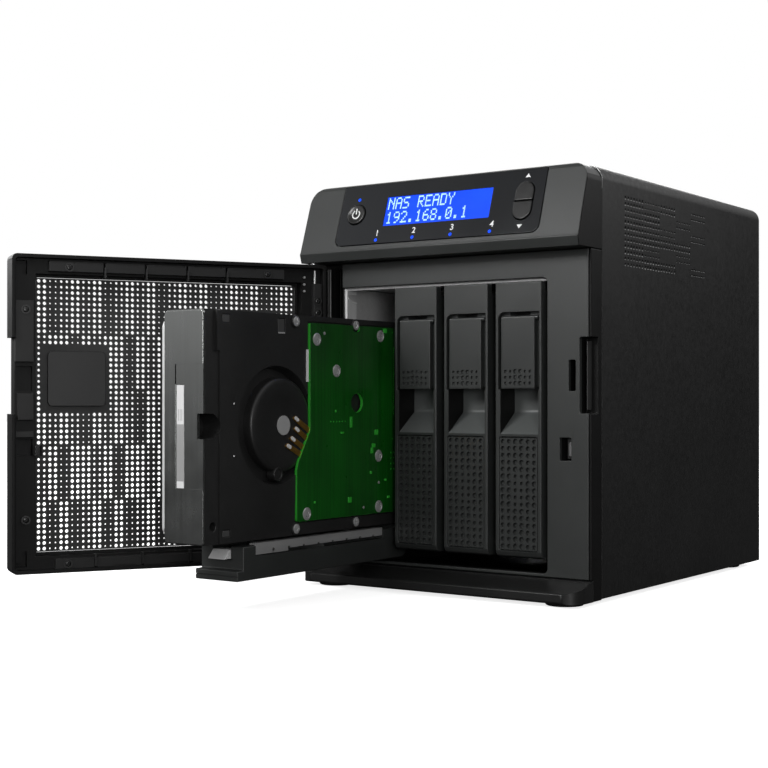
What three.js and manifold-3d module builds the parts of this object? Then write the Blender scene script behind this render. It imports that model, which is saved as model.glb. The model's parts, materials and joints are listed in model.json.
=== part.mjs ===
// Four-bay desktop network storage unit, in millimetres: X to the right seen from the front,
// Y towards the back, Z up. The origin is the middle of the base pan's underside.
// It is drawn in use: front door swung open, door of bay 1 folded down, drive 1 drawn out over it.
import * as THREE from "three";
import { mergeVertices } from "three/addons/utils/BufferGeometryUtils.js";
import Module from "manifold-3d";

const wasm = await Module();
wasm.setup();

// ---- driving dimensions ----
const HALF_WIDTH = 80;
const TOP = 201.9;
const SEAM_Y = -86.6; // front end of the steel cover
const REAR_Y = 111.4;
const FRONT_Y = -111.6; // front face of the closed front door
const PLATE_Y = -97.4; // recessed plate around the bays
const SHEET = 1.2; // steel cover
const COVER_RADIUS = 7;
const FOOT_HEIGHT = 2;
const FOOT_RADIUS = 9;
const FOOT_X = 66;
const FRONT_FOOT_Y = -97;
const REAR_FOOT_Y = 92;
const FOOT_SEAT = 0.4; // the rear feet sit this deep in the base pan
const GAP = 0.3; // between neighbouring pieces
const RUN = 0.3; // radial clearance of a pin in its hole

const BAYS = 4;
const BAY_PITCH = 29.23;
const BAY_LEFT = -57.8; // left edge of the first bay door
const BAY_DOOR_WIDTH = 24.94;
const BAY_DOOR_FRONT = -99.1;
const BAY_DOOR_BACK = -84;
const BAY_DOOR_BOTTOM = 18.1;
const BAY_DOOR_TOP = 148.3;
const BAY_HINGE = { y: -88.3, z: 23.8, barrel: 6.2, rod: 1.5 };
const LATCH_PIVOT = { y: -93, z: 130, radius: 1.2 };

const DRIVE_LENGTH = 147;
const DRIVE_HEIGHT = 101.6;
const DRIVE_WIDTH = 26.1;
const DRIVE_LEFT = -59.4; // left side of the first drive
const DRIVE_FRONT = -81; // front end of a drive that is home
const DRIVE_BOTTOM = 30.3;
const DRIVE_1_OUT = 153; // how far drive 1 is drawn out

const OPENING = { left: -61.9, right: 56.9, bottom: 11.55, top: 149.9 };
const CAGE_SHEET = 1;
const CAGE_BACK = 69.5;

const DOOR = { left: -79.5, right: 78.5, bottom: 10.9, top: 161.3, back: -98 };
const DOOR_WINDOW = { left: -66.4, right: 65.6, bottom: 19.9, top: 151.2 };
const DOOR_PIVOT = { x: -75, y: -105.5, pin: 1.5 };
const DOOR_OPEN_DEG = 120.5;
const GRIP = { left: 73.9, bottom: 86.5, top: 121.5, back: -90.4 };

const BEZEL_BOTTOM = 162.5;
const BEZEL_LEAN_DEG = 18.1;
const BEZEL_WALL = 2.2;
const LENS = { half: 58.5, bottom: 8, top: 40.2, thick: 1.2 };
const POWER = { x: -48.3, s: 24.5, radius: 5.3 };
const SCROLL = { x: 48.4, half: 4.8, bottom: 14.6, middle: 24.1, top: 33.7 };

const FAN = { x: -4, z: 108, half: 46, bore: 44.5, tip: 42, hub: 18, front: 84, back: 109, blades: 7 };
const BOARD_X = 60;
const JACK = { left: 62.2, right: 77.8, front: 93, back: 110.6 };

// ---- materials ----
function material(color, roughness, metalness) {
  return new THREE.MeshStandardMaterial({ color, roughness, metalness });
}
const POWDER_BLACK = material(0x141414, 0.62, 0.3);
const PLATE_GREY = material(0x2a2b2b, 0.5, 0.1);
const PLASTIC = material(0x171717, 0.48, 0);
const GLOSS = material(0x0b0d10, 0.08, 0);
const STEEL = material(0x9fa1a3, 0.35, 1);
const SILVER = material(0x8b8e90, 0.32, 1);
const CASTING_BLACK = material(0x151515, 0.45, 0.4);
const GREEN = material(0x0c5a14, 0.4, 0);
const BLUE = material(0x1846d8, 0.4, 0);
const RUBBER = material(0x1a1a1a, 0.9, 0);

// ---- geometry helpers ----
function boxGeometry([x0, x1], [y0, y1], [z0, z1]) {
  const g = new THREE.BoxGeometry(x1 - x0, y1 - y0, z1 - z0);
  return g.translate((x0 + x1) / 2, (y0 + y1) / 2, (z0 + z1) / 2);
}

// A cylinder along "x", "y" or "z" from a to b, centred on the other two coordinates in order.
function rodGeometry(axis, radius, a, b, [p, q], segments = 16) {
  const g = new THREE.CylinderGeometry(radius, radius, b - a, segments);
  const middle = (a + b) / 2;
  if (axis === "x") return g.rotateZ(Math.PI / 2).translate(middle, p, q);
  if (axis === "y") return g.translate(p, middle, q);
  return g.rotateX(Math.PI / 2).translate(p, q, middle);
}

function shapeOf(points) {
  return new THREE.Shape(points.map(([a, b]) => new THREE.Vector2(a, b)));
}

// Extrudes an outline along X (outline in Y, Z), Y (outline in X, Z) or Z (outline in X, Y).
function extrude(axis, shape, from, to, curveSegments = 6) {
  const g = new THREE.ExtrudeGeometry(shape, { depth: to - from, bevelEnabled: false, curveSegments });
  if (axis === "x") {
    const turn = new THREE.Matrix4().makeBasis(
      new THREE.Vector3(0, 1, 0),
      new THREE.Vector3(0, 0, 1),
      new THREE.Vector3(1, 0, 0),
    );
    return g.applyMatrix4(turn).translate(from, 0, 0);
  }
  if (axis === "y") return g.rotateX(Math.PI / 2).translate(0, to, 0);
  return g.translate(0, 0, from);
}

function solid(geometry) {
  const bare = geometry.index ? geometry.toNonIndexed() : geometry.clone();
  bare.deleteAttribute("normal");
  bare.deleteAttribute("uv");
  const merged = mergeVertices(bare, 1e-4);
  return new wasm.Manifold(
    new wasm.Mesh({
      numProp: 3,
      vertProperties: merged.attributes.position.array,
      triVerts: new Uint32Array(merged.index.array),
    }),
  );
}

function geometryOf(made) {
  const m = made.getMesh();
  const g = new THREE.BufferGeometry();
  g.setAttribute("position", new THREE.BufferAttribute(new Float32Array(m.vertProperties), 3));
  g.setIndex(new THREE.BufferAttribute(new Uint32Array(m.triVerts), 1));
  g.computeVertexNormals();
  return g;
}

function join(...geometries) {
  return geometryOf(geometries.map(solid).reduce((a, b) => a.add(b)));
}

function cut(base, ...tools) {
  return geometryOf(tools.map(solid).reduce((a, b) => a.subtract(b), solid(base)));
}

function common(a, b) {
  return geometryOf(solid(a).intersect(solid(b)));
}

function mesh(name, geometry, look) {
  const m = new THREE.Mesh(geometry, look);
  m.name = name;
  return m;
}

const box = (name, xs, ys, zs, look) => mesh(name, boxGeometry(xs, ys, zs), look);

// Rounded rectangle with its own radius at the two upper corners only.
function archShape(half, bottom, top, radius) {
  const s = new THREE.Shape();
  s.moveTo(-half, bottom);
  s.lineTo(half, bottom);
  s.lineTo(half, top - radius);
  s.absarc(half - radius, top - radius, radius, 0, Math.PI / 2, false);
  s.lineTo(-half + radius, top);
  s.absarc(-half + radius, top - radius, radius, Math.PI / 2, Math.PI, false);
  s.closePath();
  return s;
}

const unit = new THREE.Group();
const add = (...items) => unit.add(...items);

// ---- enclosure ----
function steelCover() {
  const outer = extrude("y", archShape(HALF_WIDTH, 0.5, TOP, COVER_RADIUS), SEAM_Y, REAR_Y);
  const inner = archShape(HALF_WIDTH - SHEET, -5, TOP - SHEET, COVER_RADIUS - SHEET);
  return mesh("steel_cover", cut(outer, extrude("y", inner, SEAM_Y - 1, REAR_Y + 1)), POWDER_BLACK);
}

function basePan() {
  const half = HALF_WIDTH - SHEET - GAP;
  const pan = boxGeometry([-half, half], [-86.4, 109.3], [0, 9]);
  const hollow = boxGeometry([-half + SHEET, half - SHEET], [-90, 120], [SHEET, 10]);
  const footSeat = (x) => rodGeometry("z", FOOT_RADIUS + GAP, -1, FOOT_SEAT, [x, REAR_FOOT_Y], 20);
  return mesh("base_pan", cut(pan, hollow, footSeat(-FOOT_X), footSeat(FOOT_X)), POWDER_BLACK);
}

const jackBands = { ethernet: [60, 92], usb: [97, 117], power: [20, 52] };

function rearPanel() {
  const half = HALF_WIDTH - SHEET - GAP;
  const sheet = extrude("y", archShape(half, 1.6, TOP - SHEET - GAP, COVER_RADIUS - 1.5), 109.6, 110.8);
  const holes = Object.values(jackBands).map(([low, high]) =>
    boxGeometry([JACK.left - GAP, JACK.right + GAP], [109, 112], [low - GAP, high + GAP]),
  );
  return mesh("rear_panel", cut(sheet, ...holes), POWDER_BLACK);
}

function foot(name, x, y, top) {
  return mesh(name, rodGeometry("z", FOOT_RADIUS, -FOOT_HEIGHT, top, [x, y], 20), RUBBER);
}

add(steelCover(), basePan(), rearPanel());
add(foot("foot_front_left", -FOOT_X, FRONT_FOOT_Y, 0), foot("foot_front_right", FOOT_X, FRONT_FOOT_Y, 0));
add(foot("foot_rear_left", -FOOT_X, REAR_FOOT_Y, FOOT_SEAT));
add(foot("foot_rear_right", FOOT_X, REAR_FOOT_Y, FOOT_SEAT));

// ---- front of the enclosure ----
const gripSpace = boxGeometry([GRIP.left, 90], [-100, GRIP.back], [GRIP.bottom, GRIP.top]);

function frontFrame() {
  const back = SEAM_Y - GAP;
  const front = PLATE_Y + 2 + GAP;
  const block = boxGeometry([-HALF_WIDTH, HALF_WIDTH], [front, back], [0, BEZEL_BOTTOM - GAP]);
  const lip = boxGeometry([78.8, HALF_WIDTH], [PLATE_Y, front + 1], [9.9, BEZEL_BOTTOM - GAP]);
  return mesh(
    "front_frame",
    cut(
      join(block, lip),
      boxGeometry([-63.2, 58.2], [-99, -80], [11, 151.5]),
      gripSpace,
      boxGeometry([68, 72], [-99, -90], [96.5, 111.4]),
      boxGeometry([63.3, 69.8], [-99, -88.5], [64.3, 75.4]),
    ),
    PLASTIC,
  );
}

function frontPlate() {
  const plate = boxGeometry([-62.4, 78.5], [PLATE_Y, PLATE_Y + 2], [10.1, BEZEL_BOTTOM - GAP]);
  return mesh(
    "front_plate",
    cut(
      plate,
      boxGeometry([-70, OPENING.right], [-99, -90], [OPENING.bottom, OPENING.top]),
      gripSpace,
      boxGeometry([68.3, 71.7], [-99, -90], [96.8, 111.1]),
      boxGeometry([63.6, 69.5], [-99, -90], [64.6, 75.1]),
    ),
    PLATE_GREY,
  );
}

function doorSill() {
  const back = PLATE_Y + 2;
  const profile = shapeOf([
    [FRONT_Y, 1.2],
    [FRONT_Y + 1.2, 0],
    [back, 0],
    [back, 9.6],
    [PLATE_Y, 9.6],
    [FRONT_Y + 0.6, 4.9],
    [FRONT_Y, 4.3],
  ]);
  const radius = 9;
  const plan = new THREE.Shape();
  plan.moveTo(-HALF_WIDTH, back + 1);
  plan.lineTo(-HALF_WIDTH, FRONT_Y + radius);
  plan.absarc(-HALF_WIDTH + radius, FRONT_Y + radius, radius, Math.PI, 1.5 * Math.PI, false);
  plan.lineTo(HALF_WIDTH - radius, FRONT_Y);
  plan.absarc(HALF_WIDTH - radius, FRONT_Y + radius, radius, 1.5 * Math.PI, 2 * Math.PI, false);
  plan.lineTo(HALF_WIDTH, back + 1);
  plan.closePath();
  const sill = common(
    extrude("x", profile, -HALF_WIDTH, HALF_WIDTH),
    extrude("z", plan, -1, 12),
  );
  const hole = rodGeometry("z", DOOR_PIVOT.pin + RUN, 3, 20, [DOOR_PIVOT.x, DOOR_PIVOT.y]);
  return mesh("door_sill", cut(sill, hole), PLASTIC);
}

function hingePin() {
  const { x, y, pin } = DOOR_PIVOT;
  return mesh("front_hinge_pin", rodGeometry("z", pin, 3.3, 168, [x, y], 12), STEEL);
}

add(frontFrame(), frontPlate(), doorSill(), hingePin());

// ---- control panel: built in a frame that leans back with the bezel's face ----
// In that frame X is across, Z is up the slope and Y points into the unit.
const panel = new THREE.Group();
panel.position.set(0, FRONT_Y, BEZEL_BOTTOM);
panel.rotation.x = -THREE.MathUtils.degToRad(BEZEL_LEAN_DEG);
panel.updateMatrix();

const onSlope = (geometry) => geometry.applyMatrix4(panel.matrix);

function pillShape(x, half, low, high) {
  const s = new THREE.Shape();
  s.absarc(x, high - half, half, 0, Math.PI, false);
  s.absarc(x, low + half, half, Math.PI, 2 * Math.PI, false);
  s.closePath();
  return s;
}

const lensHoles = () => [
  rodGeometry("y", POWER.radius + RUN, -4, 8, [POWER.x, POWER.s], 24),
  extrude("y", pillShape(SCROLL.x, SCROLL.half + RUN, SCROLL.bottom - RUN, SCROLL.top + RUN), -4, 8),
];

function controlBezel() {
  const back = SEAM_Y - GAP;
  const profile = shapeOf([
    [FRONT_Y, BEZEL_BOTTOM],
    [back, BEZEL_BOTTOM],
    [back, TOP],
    [-97, TOP],
    [-99.1, 200.8],
  ]);
  const cavity = shapeOf([
    [FRONT_Y + 3, BEZEL_BOTTOM + BEZEL_WALL],
    [-80, BEZEL_BOTTOM + BEZEL_WALL],
    [-80, TOP - BEZEL_WALL],
    [-97.3, TOP - BEZEL_WALL],
  ]);
  const block = common(
    extrude("x", profile, -HALF_WIDTH, HALF_WIDTH),
    extrude("y", archShape(HALF_WIDTH, 160, TOP, 8), -120, -80),
  );
  const inner = HALF_WIDTH - BEZEL_WALL;
  const recess = boxGeometry(
    [-LENS.half - GAP, LENS.half + GAP],
    [-3, LENS.thick + GAP],
    [LENS.bottom - GAP, LENS.top + GAP],
  );
  const { x, y, pin } = DOOR_PIVOT;
  return mesh(
    "control_bezel",
    cut(
      block,
      extrude("x", cavity, -inner, inner),
      onSlope(recess),
      onSlope(boxGeometry([-32, 32], [-3, 4], [16.5, 33.5])),
      ...lensHoles().map(onSlope),
      rodGeometry("z", pin + RUN, 160, 166, [x, y]),
    ),
    PLATE_GREY,
  );
}

function controlLens() {
  const sheet = boxGeometry([-LENS.half, LENS.half], [0, LENS.thick], [LENS.bottom, LENS.top]);
  return mesh("control_lens", cut(sheet, ...lensHoles()), GLOSS);
}

function scrollButton(name, low, high) {
  const { x, half, bottom, top } = SCROLL;
  const key = common(
    extrude("y", pillShape(x, half, bottom, top), -0.8, 4),
    boxGeometry([x - half, x + half], [-2, 5], [low, high]),
  );
  return mesh(name, key, PLASTIC);
}

panel.add(controlLens());
panel.add(box("lcd_module", [-31.5, 31.5], [1.6, 5.5], [17, 33], BLUE));
panel.add(box("control_board", [-62, 62], [7, 8.6], [6.5, 36], GREEN));
const powerDisc = rodGeometry("y", POWER.radius, -0.8, 4, [POWER.x, POWER.s], 24);
panel.add(mesh("power_button", powerDisc, PLASTIC));
panel.add(scrollButton("up_button", SCROLL.middle + 0.25, SCROLL.top));
panel.add(scrollButton("down_button", SCROLL.bottom, SCROLL.middle - 0.25));
add(controlBezel(), panel);

// ---- drive cage, backplane and boards ----
function cageWall(name, x) {
  const wall = boxGeometry([x, x + CAGE_SHEET], [-94.6, CAGE_BACK], [11.3, OPENING.top - GAP]);
  const hole = rodGeometry("x", BAY_HINGE.rod + RUN, x - 2, x + 3, [BAY_HINGE.y, BAY_HINGE.z]);
  return mesh(name, cut(wall, hole), STEEL);
}

add(cageWall("cage_left_wall", OPENING.left - CAGE_SHEET), cageWall("cage_right_wall", OPENING.right));
add(box("cage_roof", [-62.9, 57.9], [-94.6, CAGE_BACK], [OPENING.top, OPENING.top + CAGE_SHEET], STEEL));
add(box("cage_floor", [-61.6, 56.6], [-77.5, CAGE_BACK], [28.6, 29.9], STEEL));
for (let bay = 1; bay < BAYS; bay += 1) {
  const x = -32.25 + BAY_PITCH * (bay - 1);
  add(box(`bay_divider_${bay}`, [x, x + CAGE_SHEET], [-77.5, CAGE_BACK], [30.2, 149.6], STEEL));
}
add(box("backplane_board", [-62, 57], [70, 71.6], [20, 149], GREEN));
for (let bay = 0; bay < BAYS; bay += 1) {
  const x = DRIVE_LEFT + BAY_PITCH * bay;
  add(box(`sata_connector_${bay + 1}`, [x + 18, x + 24.5], [66.3, 69.7], [38, 82], PLASTIC));
}
add(
  mesh(
    "bay_hinge_rod",
    rodGeometry("x", BAY_HINGE.rod, -62.7, 57.7, [BAY_HINGE.y, BAY_HINGE.z], 12),
    STEEL,
  ),
);

function heatsink() {
  const base = boxGeometry([BOARD_X + 1.9, BOARD_X + 4.9], [-12, 32], [84, 128]);
  const fins = [];
  for (let z = 84; z < 128; z += 6) fins.push(boxGeometry([BOARD_X + 4, BOARD_X + 15], [-12, 32], [z, z + 2]));
  return mesh("heatsink", join(base, ...fins), SILVER);
}

add(box("main_board", [BOARD_X, BOARD_X + 1.6], [-70, 106], [16, 158], GREEN), heatsink());

function jack(name, [low, high], pockets) {
  const block = boxGeometry([JACK.left, JACK.right], [JACK.front, JACK.back], [low, high]);
  return mesh(name, cut(block, ...pockets), STEEL);
}

const jackPocket = (x0, x1, depth, z0, z1) => boxGeometry([x0, x1], [JACK.back - depth, 115], [z0, z1]);
const inletHole = (z) => rodGeometry("y", 4, JACK.back - 9, 115, [70, z]);
add(
  jack("ethernet_jacks", jackBands.ethernet, [62.5, 78].map((z) => jackPocket(64.2, 75.8, 12, z, z + 9))),
  jack("usb_jacks", jackBands.usb, [99.5, 108.5].map((z) => jackPocket(63.5, 76.5, 12, z, z + 6))),
  jack("power_inlets", jackBands.power, [inletHole(28), inletHole(44)]),
);

// ---- rear fan ----
function fanHousing() {
  const { x, z, half, bore, hub, front, back } = FAN;
  const frame = cut(
    boxGeometry([x - half, x + half], [front, back], [z - half, z + half]),
    rodGeometry("y", bore, front - 1, back + 1, [x, z], 32),
  );
  const spoke = (wide, tall) =>
    boxGeometry([x - wide, x + wide], [back - 3, back], [z - tall, z + tall]);
  const disc = rodGeometry("y", hub, back - 3, back, [x, z], 24);
  return mesh("fan_housing", join(frame, spoke(1.5, bore + 0.5), spoke(bore + 0.5, 1.5), disc), PLASTIC);
}

function fanRotor() {
  const { x, z, tip, hub, blades } = FAN;
  const pieces = [rodGeometry("y", hub, 86, 104, [0, 0], 24)];
  for (let i = 0; i < blades; i += 1) {
    const blade = new THREE.BoxGeometry(1.4, 16, tip - hub + 4);
    blade.rotateZ(THREE.MathUtils.degToRad(48));
    blade.translate(0, 95, (tip + hub) / 2 - 2);
    blade.rotateY((2 * Math.PI * i) / blades);
    pieces.push(blade);
  }
  return mesh("fan_rotor", join(...pieces).translate(x, 0, z), PLASTIC);
}

add(fanHousing(), fanRotor());

// ---- front door: built closed, then swung open about its pin ----
function doorFrame() {
  const ring = boxGeometry([DOOR.left, DOOR.right], [FRONT_Y, DOOR.back], [DOOR.bottom, DOOR.top]);
  const { left, right, bottom, top } = DOOR_WINDOW;
  return mesh(
    "door_frame",
    cut(
      ring,
      boxGeometry([left, right], [-120, -90], [bottom, top]),
      boxGeometry([DOOR.right - 1.6, 90], [-120, -90], [GRIP.bottom - 0.5, GRIP.top + 0.5]),
      rodGeometry("z", DOOR_PIVOT.pin + RUN, 5, 170, [DOOR_PIVOT.x, DOOR_PIVOT.y]),
    ),
    PLASTIC,
  );
}

const frontDoor = new THREE.Group();
const { left, right, bottom, top } = DOOR_WINDOW;
frontDoor.add(doorFrame());
frontDoor.add(
  box("door_mesh", [left + GAP, right - GAP], [-110.6, -109.4], [bottom + GAP, top - GAP], POWDER_BLACK),
);
frontDoor.add(box("door_badge", [32.1, 60], [-109.1, -107.4], [89.6, 116], PLASTIC));
const hook = shapeOf([
  [69, DOOR.back + GAP],
  [69, -92],
  [66.6, -92],
  [65.6, -93],
  [67, -94.4],
  [67, DOOR.back + GAP],
]);
frontDoor.add(mesh("door_hook", extrude("z", hook, 66.5, 71.5), PLASTIC));
frontDoor.position.set(DOOR_PIVOT.x, DOOR_PIVOT.y, 0);
frontDoor.rotation.z = -THREE.MathUtils.degToRad(DOOR_OPEN_DEG);
for (const piece of frontDoor.children) piece.position.set(-DOOR_PIVOT.x, -DOOR_PIVOT.y, 0);
add(frontDoor);

// ---- bay doors with their latches and steel rails, built closed ----
function bayDoor(bay, x) {
  const front = BAY_DOOR_FRONT;
  const back = BAY_DOOR_BACK;
  const end = x + BAY_DOOR_WIDTH;
  const profile = shapeOf([
    [front, BAY_DOOR_BOTTOM + 3],
    [front + 3, BAY_DOOR_BOTTOM],
    [back, BAY_DOOR_BOTTOM],
    [back, BAY_DOOR_TOP - 4],
    [front + 4.7, BAY_DOOR_TOP - 4],
    [front + 4.7, BAY_DOOR_TOP],
    [front, BAY_DOOR_TOP],
  ]);
  const ramp = shapeOf([
    [-105, 75.9 - 4.6],
    [-85.5, 86.5],
    [-85.5, 97.6],
    [-105, 97.6],
  ]);
  const body = join(
    extrude("x", profile, x, end),
    rodGeometry("x", BAY_HINGE.barrel, x, end, [BAY_HINGE.y, BAY_HINGE.z], 20),
  );
  return mesh(
    `bay_door_${bay}`,
    cut(
      body,
      extrude("x", ramp, x + 2.8, x + 23.5),
      boxGeometry([x + 1.6, x + 23.7], [-105, front + 2.5], [97.5, 134.1]),
      boxGeometry([x + 6.8, x + 17.8], [front + 2, -80], [118, 150]),
      boxGeometry([x + 20.4, end + 1], [-88.6, -80], [38, 136]),
      rodGeometry("x", LATCH_PIVOT.radius + RUN, x + 5, x + 19.6, [LATCH_PIVOT.y, LATCH_PIVOT.z], 12),
      rodGeometry("x", BAY_HINGE.rod + RUN, x - 1, end + 1, [BAY_HINGE.y, BAY_HINGE.z], 12),
    ),
    PLATE_GREY,
  );
}

function bayLatch(bay, x) {
  const flap = boxGeometry([x + 3.1, x + 21.7], [-99, -97], [97.9, 131.6]);
  const lever = shapeOf([
    [-98, 122],
    [-87.5, 122],
    [-85.5, 125],
    [-85.5, 144.6],
    [-89.7, 148.3],
    [-89.7, 131.6],
    [-98, 131.6],
  ]);
  const trunnion = rodGeometry(
    "x",
    LATCH_PIVOT.radius,
    x + 5.3,
    x + 19.3,
    [LATCH_PIVOT.y, LATCH_PIVOT.z],
    12,
  );
  return mesh(
    `bay_latch_${bay}`,
    join(flap, extrude("x", lever, x + 7.3, x + 17.3), trunnion),
    PLATE_GREY,
  );
}

function bayRail(bay, x) {
  return mesh(
    `bay_rail_${bay}`,
    join(
      boxGeometry([x + 20.8, x + 24.5], [-83.9, -83.1], [38.5, 135.5]),
      boxGeometry([x + 23.7, x + 24.5], [-88.2, -83.1], [112.6, 135.5]),
      boxGeometry([x + 23.7, x + 24.5], [-86.9, -83.1], [38.5, 113]),
    ),
    STEEL,
  );
}

for (let bay = 1; bay <= BAYS; bay += 1) {
  const x = BAY_LEFT + BAY_PITCH * (bay - 1);
  const door = new THREE.Group();
  door.add(bayDoor(bay, x), bayLatch(bay, x), bayRail(bay, x));
  for (const piece of door.children) piece.position.set(0, -BAY_HINGE.y, -BAY_HINGE.z);
  door.position.set(0, BAY_HINGE.y, BAY_HINGE.z);
  if (bay === 1) door.rotation.x = Math.PI / 2;
  add(door);
}

// ---- drives ----
function driveBlock(name, x, look) {
  const bottom = DRIVE_BOTTOM;
  const outline = shapeOf([
    [DRIVE_FRONT, bottom + 2],
    [DRIVE_FRONT + 2, bottom],
    [DRIVE_FRONT + DRIVE_LENGTH, bottom],
    [DRIVE_FRONT + DRIVE_LENGTH, bottom + DRIVE_HEIGHT],
    [DRIVE_FRONT + 2, bottom + DRIVE_HEIGHT],
    [DRIVE_FRONT, bottom + DRIVE_HEIGHT - 2],
  ]);
  return mesh(name, extrude("x", outline, x, x + DRIVE_WIDTH), look);
}

for (let bay = 2; bay <= BAYS; bay += 1) {
  add(driveBlock(`drive_${bay}`, DRIVE_LEFT + BAY_PITCH * (bay - 1), SILVER));
}

// Drive 1 is split into its lid, its casting and its circuit board.
function drawnOutDrive() {
  const right = DRIVE_LEFT + DRIVE_WIDTH;
  const bottom = DRIVE_BOTTOM;
  const height = bottom + DRIVE_HEIGHT;
  const back = DRIVE_FRONT + DRIVE_LENGTH;
  const boardFront = DRIVE_FRONT + 70;
  const boardOutline = shapeOf([
    [boardFront, bottom + 6],
    [back - 1, bottom + 6],
    [back - 1, height - 5],
    [boardFront + 2, height - 5],
    [boardFront + 2, bottom + 49],
    [boardFront, bottom + 35],
  ]);
  const casting = cut(
    boxGeometry([DRIVE_LEFT + 1.8, right], [DRIVE_FRONT, back], [bottom, height]),
    boxGeometry([right - 2.6, right + 1], [boardFront - 1, back + 1], [bottom + 5, height - 4]),
  );
  const drive = new THREE.Group();
  drive.add(
    mesh("drive_1_casting", casting, CASTING_BLACK),
    box(
      "drive_1_lid",
      [DRIVE_LEFT, DRIVE_LEFT + 1.5],
      [DRIVE_FRONT + 1, back - 3],
      [bottom + 1, height - 1],
      SILVER,
    ),
    mesh("drive_1_board", extrude("x", boardOutline, right - 2.2, right - 0.6), GREEN),
  );
  drive.position.y = -DRIVE_1_OUT;
  return drive;
}

add(drawnOutDrive());

export default unit;
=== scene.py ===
"""Looks of the four-bay network storage unit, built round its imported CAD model.

Shapes are written in millimetres in the row frame: X right seen from the front, Y to the back, Z up.
The front door, the door of bay 1 and drive 1 are drawn closed and then put where the CAD model has them.
"""

import json
import math

import bmesh
import bpy
from mathutils import Matrix, Vector


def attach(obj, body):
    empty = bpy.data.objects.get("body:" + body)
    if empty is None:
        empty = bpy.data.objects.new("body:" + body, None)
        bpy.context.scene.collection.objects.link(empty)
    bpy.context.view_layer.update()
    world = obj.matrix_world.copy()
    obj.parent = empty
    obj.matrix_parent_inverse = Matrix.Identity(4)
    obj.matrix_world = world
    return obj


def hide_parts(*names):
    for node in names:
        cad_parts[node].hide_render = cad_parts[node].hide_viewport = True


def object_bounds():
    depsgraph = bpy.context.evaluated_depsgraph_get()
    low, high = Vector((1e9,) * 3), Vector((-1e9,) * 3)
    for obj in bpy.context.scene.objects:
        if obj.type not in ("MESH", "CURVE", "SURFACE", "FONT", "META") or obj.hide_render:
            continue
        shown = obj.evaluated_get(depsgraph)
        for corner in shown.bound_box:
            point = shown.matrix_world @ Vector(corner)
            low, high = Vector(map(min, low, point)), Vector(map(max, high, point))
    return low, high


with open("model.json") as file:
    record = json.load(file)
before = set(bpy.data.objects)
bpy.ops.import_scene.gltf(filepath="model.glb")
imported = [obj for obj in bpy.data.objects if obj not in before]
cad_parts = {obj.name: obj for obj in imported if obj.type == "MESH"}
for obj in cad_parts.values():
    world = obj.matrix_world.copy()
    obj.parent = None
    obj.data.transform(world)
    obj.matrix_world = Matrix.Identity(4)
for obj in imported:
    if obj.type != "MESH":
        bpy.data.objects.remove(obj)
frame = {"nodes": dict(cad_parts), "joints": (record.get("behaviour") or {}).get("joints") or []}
cad_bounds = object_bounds()

MM = 0.001
SCENE = bpy.context.scene
JOINTS = {j["name"]: j for j in frame["joints"]}


# ---------------------------------------------------------------- shapes
class Shape:
    """A mesh as plain lists: points in millimetres, and faces as rows of point numbers."""

    def __init__(self, points=(), faces=()):
        self.points = [Vector(p) for p in points]
        self.faces = [tuple(f) for f in faces]

    def __add__(self, other):
        shift = len(self.points)
        faces = [tuple(i + shift for i in f) for f in other.faces]
        return Shape(self.points + other.points, self.faces + faces)

    def moved(self, matrix):
        return Shape([matrix @ p for p in self.points], self.faces)

    def at(self, x=0, y=0, z=0):
        return self.moved(Matrix.Translation((x, y, z)))

    def mesh(self, scale=1.0):
        """A Blender mesh of the shape with its faces turned outwards."""
        mesh = bpy.data.meshes.new("shape")
        mesh.from_pydata([p * scale for p in self.points], [], self.faces)
        bm = bmesh.new()
        bm.from_mesh(mesh)
        bmesh.ops.recalc_face_normals(bm, faces=bm.faces)
        bm.to_mesh(mesh)
        bm.free()
        return mesh


def total(shapes):
    return sum(shapes, Shape())


def spot(axis, p, q, along):
    """A point from its place along an axis and its other two coordinates in X, Y, Z order."""
    return {"x": (along, p, q), "y": (p, along, q), "z": (p, q, along)}[axis]


def loft(rings, ring_closed=False):
    """Skins rings of equally many points; the ends are capped unless the last ring joins the first."""
    count, levels = len(rings[0]), len(rings)
    points = [p for ring in rings for p in ring]
    faces = []
    for level in range(levels if ring_closed else levels - 1):
        low, high = level * count, (level + 1) % levels * count
        for i in range(count):
            j = (i + 1) % count
            faces.append((low + i, low + j, high + j, high + i))
    if not ring_closed:
        faces.append(tuple(range(count))[::-1])
        faces.append(tuple((levels - 1) * count + i for i in range(count)))
    return Shape(points, faces)


def prism(axis, outline, a, b):
    return loft([[spot(axis, p, q, along) for p, q in outline] for along in (a, b)])


def rectangle(ps, qs):
    return [(ps[0], qs[0]), (ps[1], qs[0]), (ps[1], qs[1]), (ps[0], qs[1])]


def box(xs, ys, zs):
    return prism("z", rectangle(xs, ys), *zs)


def circle(radius, centre=(0, 0), sides=24, turn=0.0):
    steps = [turn + math.tau * k / sides for k in range(sides)]
    return [(centre[0] + radius * math.cos(t), centre[1] + radius * math.sin(t)) for t in steps]


def rod(axis, radius, a, b, centre, sides=24):
    return prism(axis, circle(radius, centre, sides), a, b)


def turned(axis, profile, centre=(0, 0), sides=24, ring=False):
    """A turned shape from (radius, place along the axis) pairs; with ring the profile closes on itself."""
    rings = [[spot(axis, p, q, along) for p, q in circle(radius, centre, sides)] for radius, along in profile]
    return loft(rings, ring)


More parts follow.
